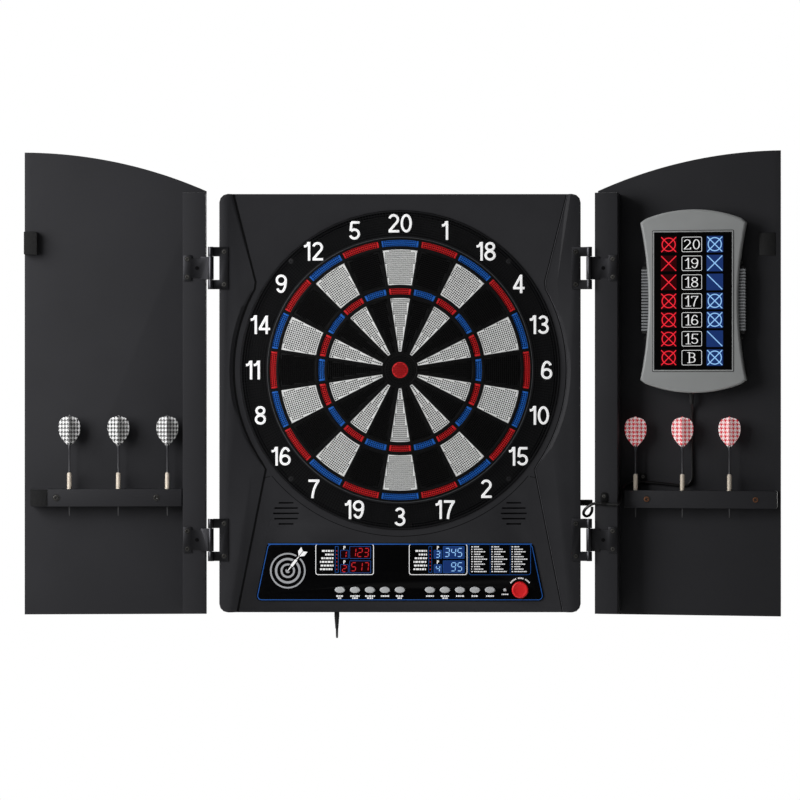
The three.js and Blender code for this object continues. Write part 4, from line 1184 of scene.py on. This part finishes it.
red_light = finish("red_mark_glow", "display", (226, 28, 44), 0.4, 0.5, 0.005, 0.1, 100,
                   Emission_Color=linear((244, 30, 50)), Emission_Strength=0.5)
dark_red = finish("red_cell", "display", (36, 4, 8), 0.4, 0.5, 0.005, 0.2, 100,
                  Emission_Color=linear((80, 4, 10)), Emission_Strength=0.2,
                  Specular_IOR_Level=0.05)
boxes, cells, red_cells = [], [], []
marks = {"red": [], "blue": []}
for i, (label, red_count, blue_count) in enumerate(TALLY):
    z = BOARD_Z + (3 - i) * ROW_PITCH
    boxes += frame_line(BOX_X - 15.2, z - 11.4, BOX_X + 15.2, z + 11.4, 0.7, 2.4, 1.8)
    for colour, x, count in (("red", MARK_X, red_count), ("blue", CELL_X, blue_count)):
        shapes = mark(x, z, count, 11.2, 1.5)
        for part, shape in enumerate(shapes[:2] if count < 3 else shapes[:3]):
            marks[colour].append((shape, part))
        if count > 2:
            marks[colour][-1] = (shapes[2:4], 2)
    cells.append(rounded(box(CELL_X - 12.4, z - 12.4, CELL_X + 12.4, z + 12.4), 0.8))
    red_cells.append(rounded(box(MARK_X - 11.8, z - 11.8, MARK_X + 11.8, z + 11.8), 0.8))
    figure = lettering(label, 16.5, BOX_X, z, SCREEN_INK - 0.1, SCREEN_INK + 0.05, 0.1, 0.05)
    add("tally_" + label, figure, white_ink_painted_glow, "right")
ink("blue_cells", cells, blue_light, SCREEN_INK + 0.03, "right", 0.03)
ink("red_cells", red_cells, dark_red, SCREEN_INK + 0.03, "right", 0.03)
ink("number_boxes", boxes, white_ink_painted_glow, SCREEN_INK, "right")
for colour, light in (("red", red_light), ("blue", pale_glow)):
    for part in range(3):
        shapes = [s for s, p in marks[colour] if p == part]
        flat = [o for s in shapes for o in (s if part == 2 else [s])]
        ink(f"{colour}_marks_{part + 1}", flat, light, SCREEN_INK - 0.05 * part, "right", 0.05)
print(len(TALLY), "rows on the scoreboard")

# %% [markdown]
# A soft-tip dart is four pieces: a nylon point, a plated barrel with knurled rings, a thin
# shaft and a folded flight. The flights carry a houndstooth, which is only arithmetic: two
# square waves for warp and weft, and a diagonal one that chooses between them.

# %% Flight pattern
def houndstooth(name, slot, dark, pale, glow, repeat=4.9):
    """repeat is in mm. glow is painted light, an emission that evens out the shade one wing casts on the
    other.
    """
    material = finish(name, slot, pale, 0.4, 0.5, 0.01, Emission_Strength=glow)
    tree = material.node_tree
    shader = tree.nodes["Principled BSDF"]
    split = tree.nodes.new("ShaderNodeSeparateXYZ")
    place = next(n for n in tree.nodes if n.type == "TEX_COORD").outputs["Object"]
    tree.links.new(place, split.inputs["Vector"])

    def step(operation, a, b=None):
        node = tree.nodes.new("ShaderNodeMath")
        node.operation = operation
        for socket, value in zip(node.inputs, (a, b)):
            if isinstance(value, (int, float)):
                socket.default_value = value
            elif value is not None:
                tree.links.new(value, socket)
        return node.outputs["Value"]

    across = step("MULTIPLY", step("ADD", split.outputs["X"], split.outputs["Y"]), 1 / (repeat * MM))
    up = step("MULTIPLY", split.outputs["Z"], 0.82 / (repeat * MM))
    warp = step("GREATER_THAN", step("FRACT", across), 0.47)
    weft = step("GREATER_THAN", step("FRACT", up), 0.45)
    twill = step("GREATER_THAN", step("FRACT", step("MULTIPLY", step("ADD", across, up), 2)), 0.5)
    choose = tree.nodes.new("ShaderNodeMix")
    tree.links.new(twill, choose.inputs["Factor"])
    tree.links.new(warp, choose.inputs["A"])
    tree.links.new(weft, choose.inputs["B"])
    colours = tree.nodes.new("ShaderNodeMix")
    colours.data_type = "RGBA"
    colours.inputs["A"].default_value = linear(dark)
    colours.inputs["B"].default_value = linear(pale)
    tree.links.new(choose.outputs["Result"], colours.inputs["Factor"])
    tree.links.new(colours.outputs["Result"], shader.inputs["Base Color"])
    tree.links.new(colours.outputs["Result"], shader.inputs["Emission Color"])
    return material


# The flights' glow values are painted light.
flights = {"left": houndstooth("black_houndstooth", "segment_black", (12, 12, 13), (250, 250, 250), 0.04),
           "right": houndstooth("red_houndstooth", "segment_red", (214, 34, 50), (252, 240, 240), 0.22)}
barrel_silver = finish("barrel_silver", "dart_metal", (232, 220, 204), 0.35, 0.3, 0.03, Metallic=0.15)
nylon = finish("nylon_point", "dart_metal", (66, 66, 68), 0.5, 0.4, 0.02)
shaft_black = finish("shaft_black", "lead_black", (60, 60, 64), 0.35, 0.4, 0.02)
print("flight patterns made")

# %% [markdown]
# The four pieces are turned or cut about the dart's own upright axis and then stood in their
# holes in the racks. A flight is two wings crossed at a right angle.

# %% Darts
DART_W = 33.5
STANDS = {"left": ([67, 141.4, 215.6], -221.8), "right": ([67.3, 138.2, 209.1], -223.6)}
barrel_line = [(0, 24.9), (2.5, 25), (2.6, 27), (3.5, 31.6)]
for i in range(14):
    foot = 32 + i * 2.25
    barrel_line += [(3.68, foot + 0.2), (3.68, foot + 1.2), (3.25, foot + 1.5), (3.25, foot + 1.95)]
barrel_line += [(3.6, 63.8), (3.2, 64.6), (2.3, 66), (0, 66)]
point_line = [(0, 0), (0.5, 0.3), (0.75, 1.2), (1.1, 14), (2.1, 24), (0, 24)]
shaft_line = [(0, 65.5), (1.9, 65.5), (1.3, 68), (1.3, 100), (2.1, 103), (2.1, 108), (1.6, 110), (0, 110)]
half_flight = [(0.9, 106), (6, 111), (12.4, 119), (15.4, 125.5), (16.5, 132), (16.4, 138.5), (15, 144),
               (11.8, 148.5), (7.5, 150.6), (2.6, 151.6), (0, 153.4)]
wing = half_flight + [(-x, z) for x, z in half_flight[-2::-1]]
quarter = Matrix.Rotation(math.radians(90), 4, "Z")
for door, side in SIDE.items():
    places, point_z = STANDS[door]
    for i, u in enumerate(places):
        body = f"dart_{door}_{i + 1}"
        stand = spot(side * u, DART_W, point_z)
        wings = [plate([wing], -0.28, 0.28, 0.1) for _ in range(2)]
        wings[1].transform(quarter)
        parts = {"barrel": (turned(barrel_line, 28, Matrix.Identity(4)), barrel_silver),
                 "point": (turned(point_line, 20, Matrix.Identity(4)), nylon),
                 "shaft": (turned(shaft_line, 20, Matrix.Identity(4)), shaft_black),
                 "flight": (joined(wings), flights[door])}
        for part, (mesh, material) in parts.items():
            mesh.transform(stand)
            add(f"{body}_{part}", mesh, material, door, [body], body)
print("darts:", sum(len(places) for places, _ in STANDS.values()))

# %% [markdown]
# The scoreboard's lead leaves its lower end, runs down the board, along behind the rack, over
# the rail and round in a loop to a socket in the housing's side. It belongs to the door up to
# the hinge and to the housing after it; the mesh is put where the right door stands and is tied to
# neither body.

# %% Scoreboard lead
def smooth_line(points, steps=6):
    """A Catmull-Rom line through the points."""
    points = [Vector(p) for p in points]
    ends = [points[0] * 2 - points[1], *points, points[-1] * 2 - points[-2]]
    line = []
    for a, b, c, d in zip(ends, ends[1:], ends[2:], ends[3:]):
        for i in range(steps):
            t = i / steps
            line.append(0.5 * (2 * b + (c - a) * t + (2 * a - 5 * b + 4 * c - d) * t ** 2
                               + (3 * b - 3 * c + d - a) * t ** 3))
    return line + [points[-1]]


ON_PANEL, ON_RAIL, BESIDE_RAIL = 49.35, 1.35, 45.65
lead_route = [
    (151.6, 40, -35.3), (151.7, 43.5, -46.7), (151.8, ON_PANEL, -64.7), (151.8, ON_PANEL, -106),
    (152.4, ON_PANEL, -150), (151.5, ON_PANEL, -166), (144, ON_PANEL, -175), (128, ON_PANEL, -175),
    (104, ON_PANEL, -172.5), (85, ON_PANEL, -171), (68, ON_PANEL, -170.5), (56, ON_PANEL - 1, -173),
    (BESIDE_RAIL + 1.6, ON_PANEL - 6, -179), (BESIDE_RAIL, ON_PANEL - 20, -188),
    (BESIDE_RAIL, 14, -197), (BESIDE_RAIL - 0.2, 5.5, -200.8), (BESIDE_RAIL - 2, ON_RAIL + 0.8, -202.2),
    (BESIDE_RAIL - 6, ON_RAIL, -203), (31, ON_RAIL, -203), (20, ON_RAIL, -201.8), (9, ON_RAIL, -201.8),
    (1.5, ON_RAIL - 0.6, -204.5), (-6, 3, -210.5), (-9.5, 8.5, -217), (-7, 15, -221.5),
    (-2, 20, -220.5), (1.5, 23.5, -215), (2, 24.5, -207.8)]
track = tube("track", smooth_line(lead_route), 2.25, 3)
lead = bpy.data.objects.new("scoreboard_lead", meshed(track, PLACE["right"]))
scene.collection.objects.link(lead)
lead.data.materials.append(jacket)
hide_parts("display_lead")
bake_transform(lead)
softened("display_plug", 0.8, rubber, "scoreboard_plug")
print("scoreboard lead:", len(lead.data.polygons), "faces")

# %% [markdown]
# Two clips hold that lead: one screwed to the rail, and one tacked to the board above the rack.
# A short sleeve leaves the scoreboard with it.

# %% Lead clips
turn_x = Matrix.Rotation(math.radians(90), 4, "Y")
for name, u, w, z, screw_z, back in (("rail_clip", 22.3, ON_RAIL, -201.9, -191, RAIL_FRONT),
                                     ("board_clip", 77.2, ON_PANEL, -170.8, -162.5, BOARD)):
    sleeve = turned([(2.4, -3.6), (3.1, -3.6), (3.1, 3.6), (2.4, 3.6)], 24, spot(u, w, z) @ turn_x)
    tab = rounded(box(u - 5.8, z + 1.2, u + 5.8, screw_z + 6), 5)
    tongue = plate([tab], back - 1.6, back - 0.1, 0.4, 2)
    add(name, joined([sleeve, tongue]), web_black, "right")
    screws(name + "_screw", [(u, screw_z)], 2.4, back - 2.5, screw_steel, "right")
boot = turned([(2.3, -52), (2.9, -51.6), (3.6, -37), (4.6, -36), (4.6, -34.8)], 24,
              spot(151.6, 41, 0))
add("lead_boot", boot, rubber, "right")
print("clips placed")

# %% [markdown]
# Parts that can hardly be seen still deserve their own finish, because the target can be looked
# through and the doors can be swung: the mat, the sensor film, the circuit board and the cones.

# %% Hidden parts
film = finish("sensor_film", "film", (30, 29, 26), 0.35, 0.4, 0.01, 0.1, 60)
board_green = finish("solder_mask", "circuit_board", (28, 92, 52), 0.35, 0.5, 0.02, 0.2, 120)
hidden = {"rubber_mat": rubber, "sensor_membrane": film, "main_board": board_green,
          "speaker_left": ring_black, "speaker_right": ring_black, "power_jack": rubber}
for node, material in hidden.items():
    nodes[node].data.materials.clear()
    nodes[node].data.materials.append(material)
print(len(hidden), "hidden parts finished")

# %% [markdown]
# The board hangs at its regulation height, so the pale floor lies 1.73 m below the bull. A
# large soft lamp near the left does most of the work and a weak one fills from the front. Three
# more, behind the plane of the wall, light the right side, the back, the top and the floor for
# whoever walks round it. The surroundings are white to the eye but dim as a light, which keeps
# the blacks black.

# %% Floor, lamps and surroundings
BULL_HEIGHT, FLOOR_REACH = 1.73, 6
ground = bpy.data.meshes.new("floor")
floor_corners = box(-FLOOR_REACH, -FLOOR_REACH, FLOOR_REACH, FLOOR_REACH)
ground.from_pydata([(x, y, -BULL_HEIGHT) for x, y in floor_corners], [], [(0, 1, 2, 3)])
floor = bpy.data.objects.new("floor", ground)
scene.collection.objects.link(floor)
ground.materials.append(finish("pale_floor", "door_board", (226, 226, 224), 0.8, 3, 0.05, 0.02, 2))


def lamp(name, place, size, power):
    light = bpy.data.lights.new(name, "AREA")
    light.shape = "SQUARE"
    light.size = size
    light.energy = power
    holder = bpy.data.objects.new(name, light)
    holder.location = place
    aim = Vector((0, -0.05, 0)) - Vector(place)
    holder.rotation_euler = aim.to_track_quat("-Z", "Y").to_euler()
    scene.collection.objects.link(holder)


lamp("key", (-1.62, -1.12, 0.5), 1.4, 41)
lamp("fill", (-0.9, -3.0, 1.8), 1.6, 6)
lamp("right_side", (2.2, 2.2, 0.4), 1.6, 36)
lamp("rear", (0.3, 2.6, 1.4), 2.4, 90)
lamp("overhead", (0, 1.3, 2.3), 2.2, 45)

surroundings = bpy.data.worlds.new("surroundings")
surroundings.use_nodes = True
tree = surroundings.node_tree
dim, bright = tree.nodes["Background"], tree.nodes.new("ShaderNodeBackground")
for background, strength in ((dim, 0.04), (bright, 1.0)):
    background.inputs["Color"].default_value = (1, 1, 1, 1)
    background.inputs["Strength"].default_value = strength
which = tree.nodes.new("ShaderNodeMixShader")
seen = tree.nodes.new("ShaderNodeLightPath")
tree.links.new(seen.outputs["Is Camera Ray"], which.inputs["Fac"])
tree.links.new(dim.outputs["Background"], which.inputs[1])
tree.links.new(bright.outputs["Background"], which.inputs[2])
tree.links.new(which.outputs["Shader"], tree.nodes["World Output"].inputs["Surface"])
scene.world = surroundings
scene.view_settings.view_transform = "Standard"
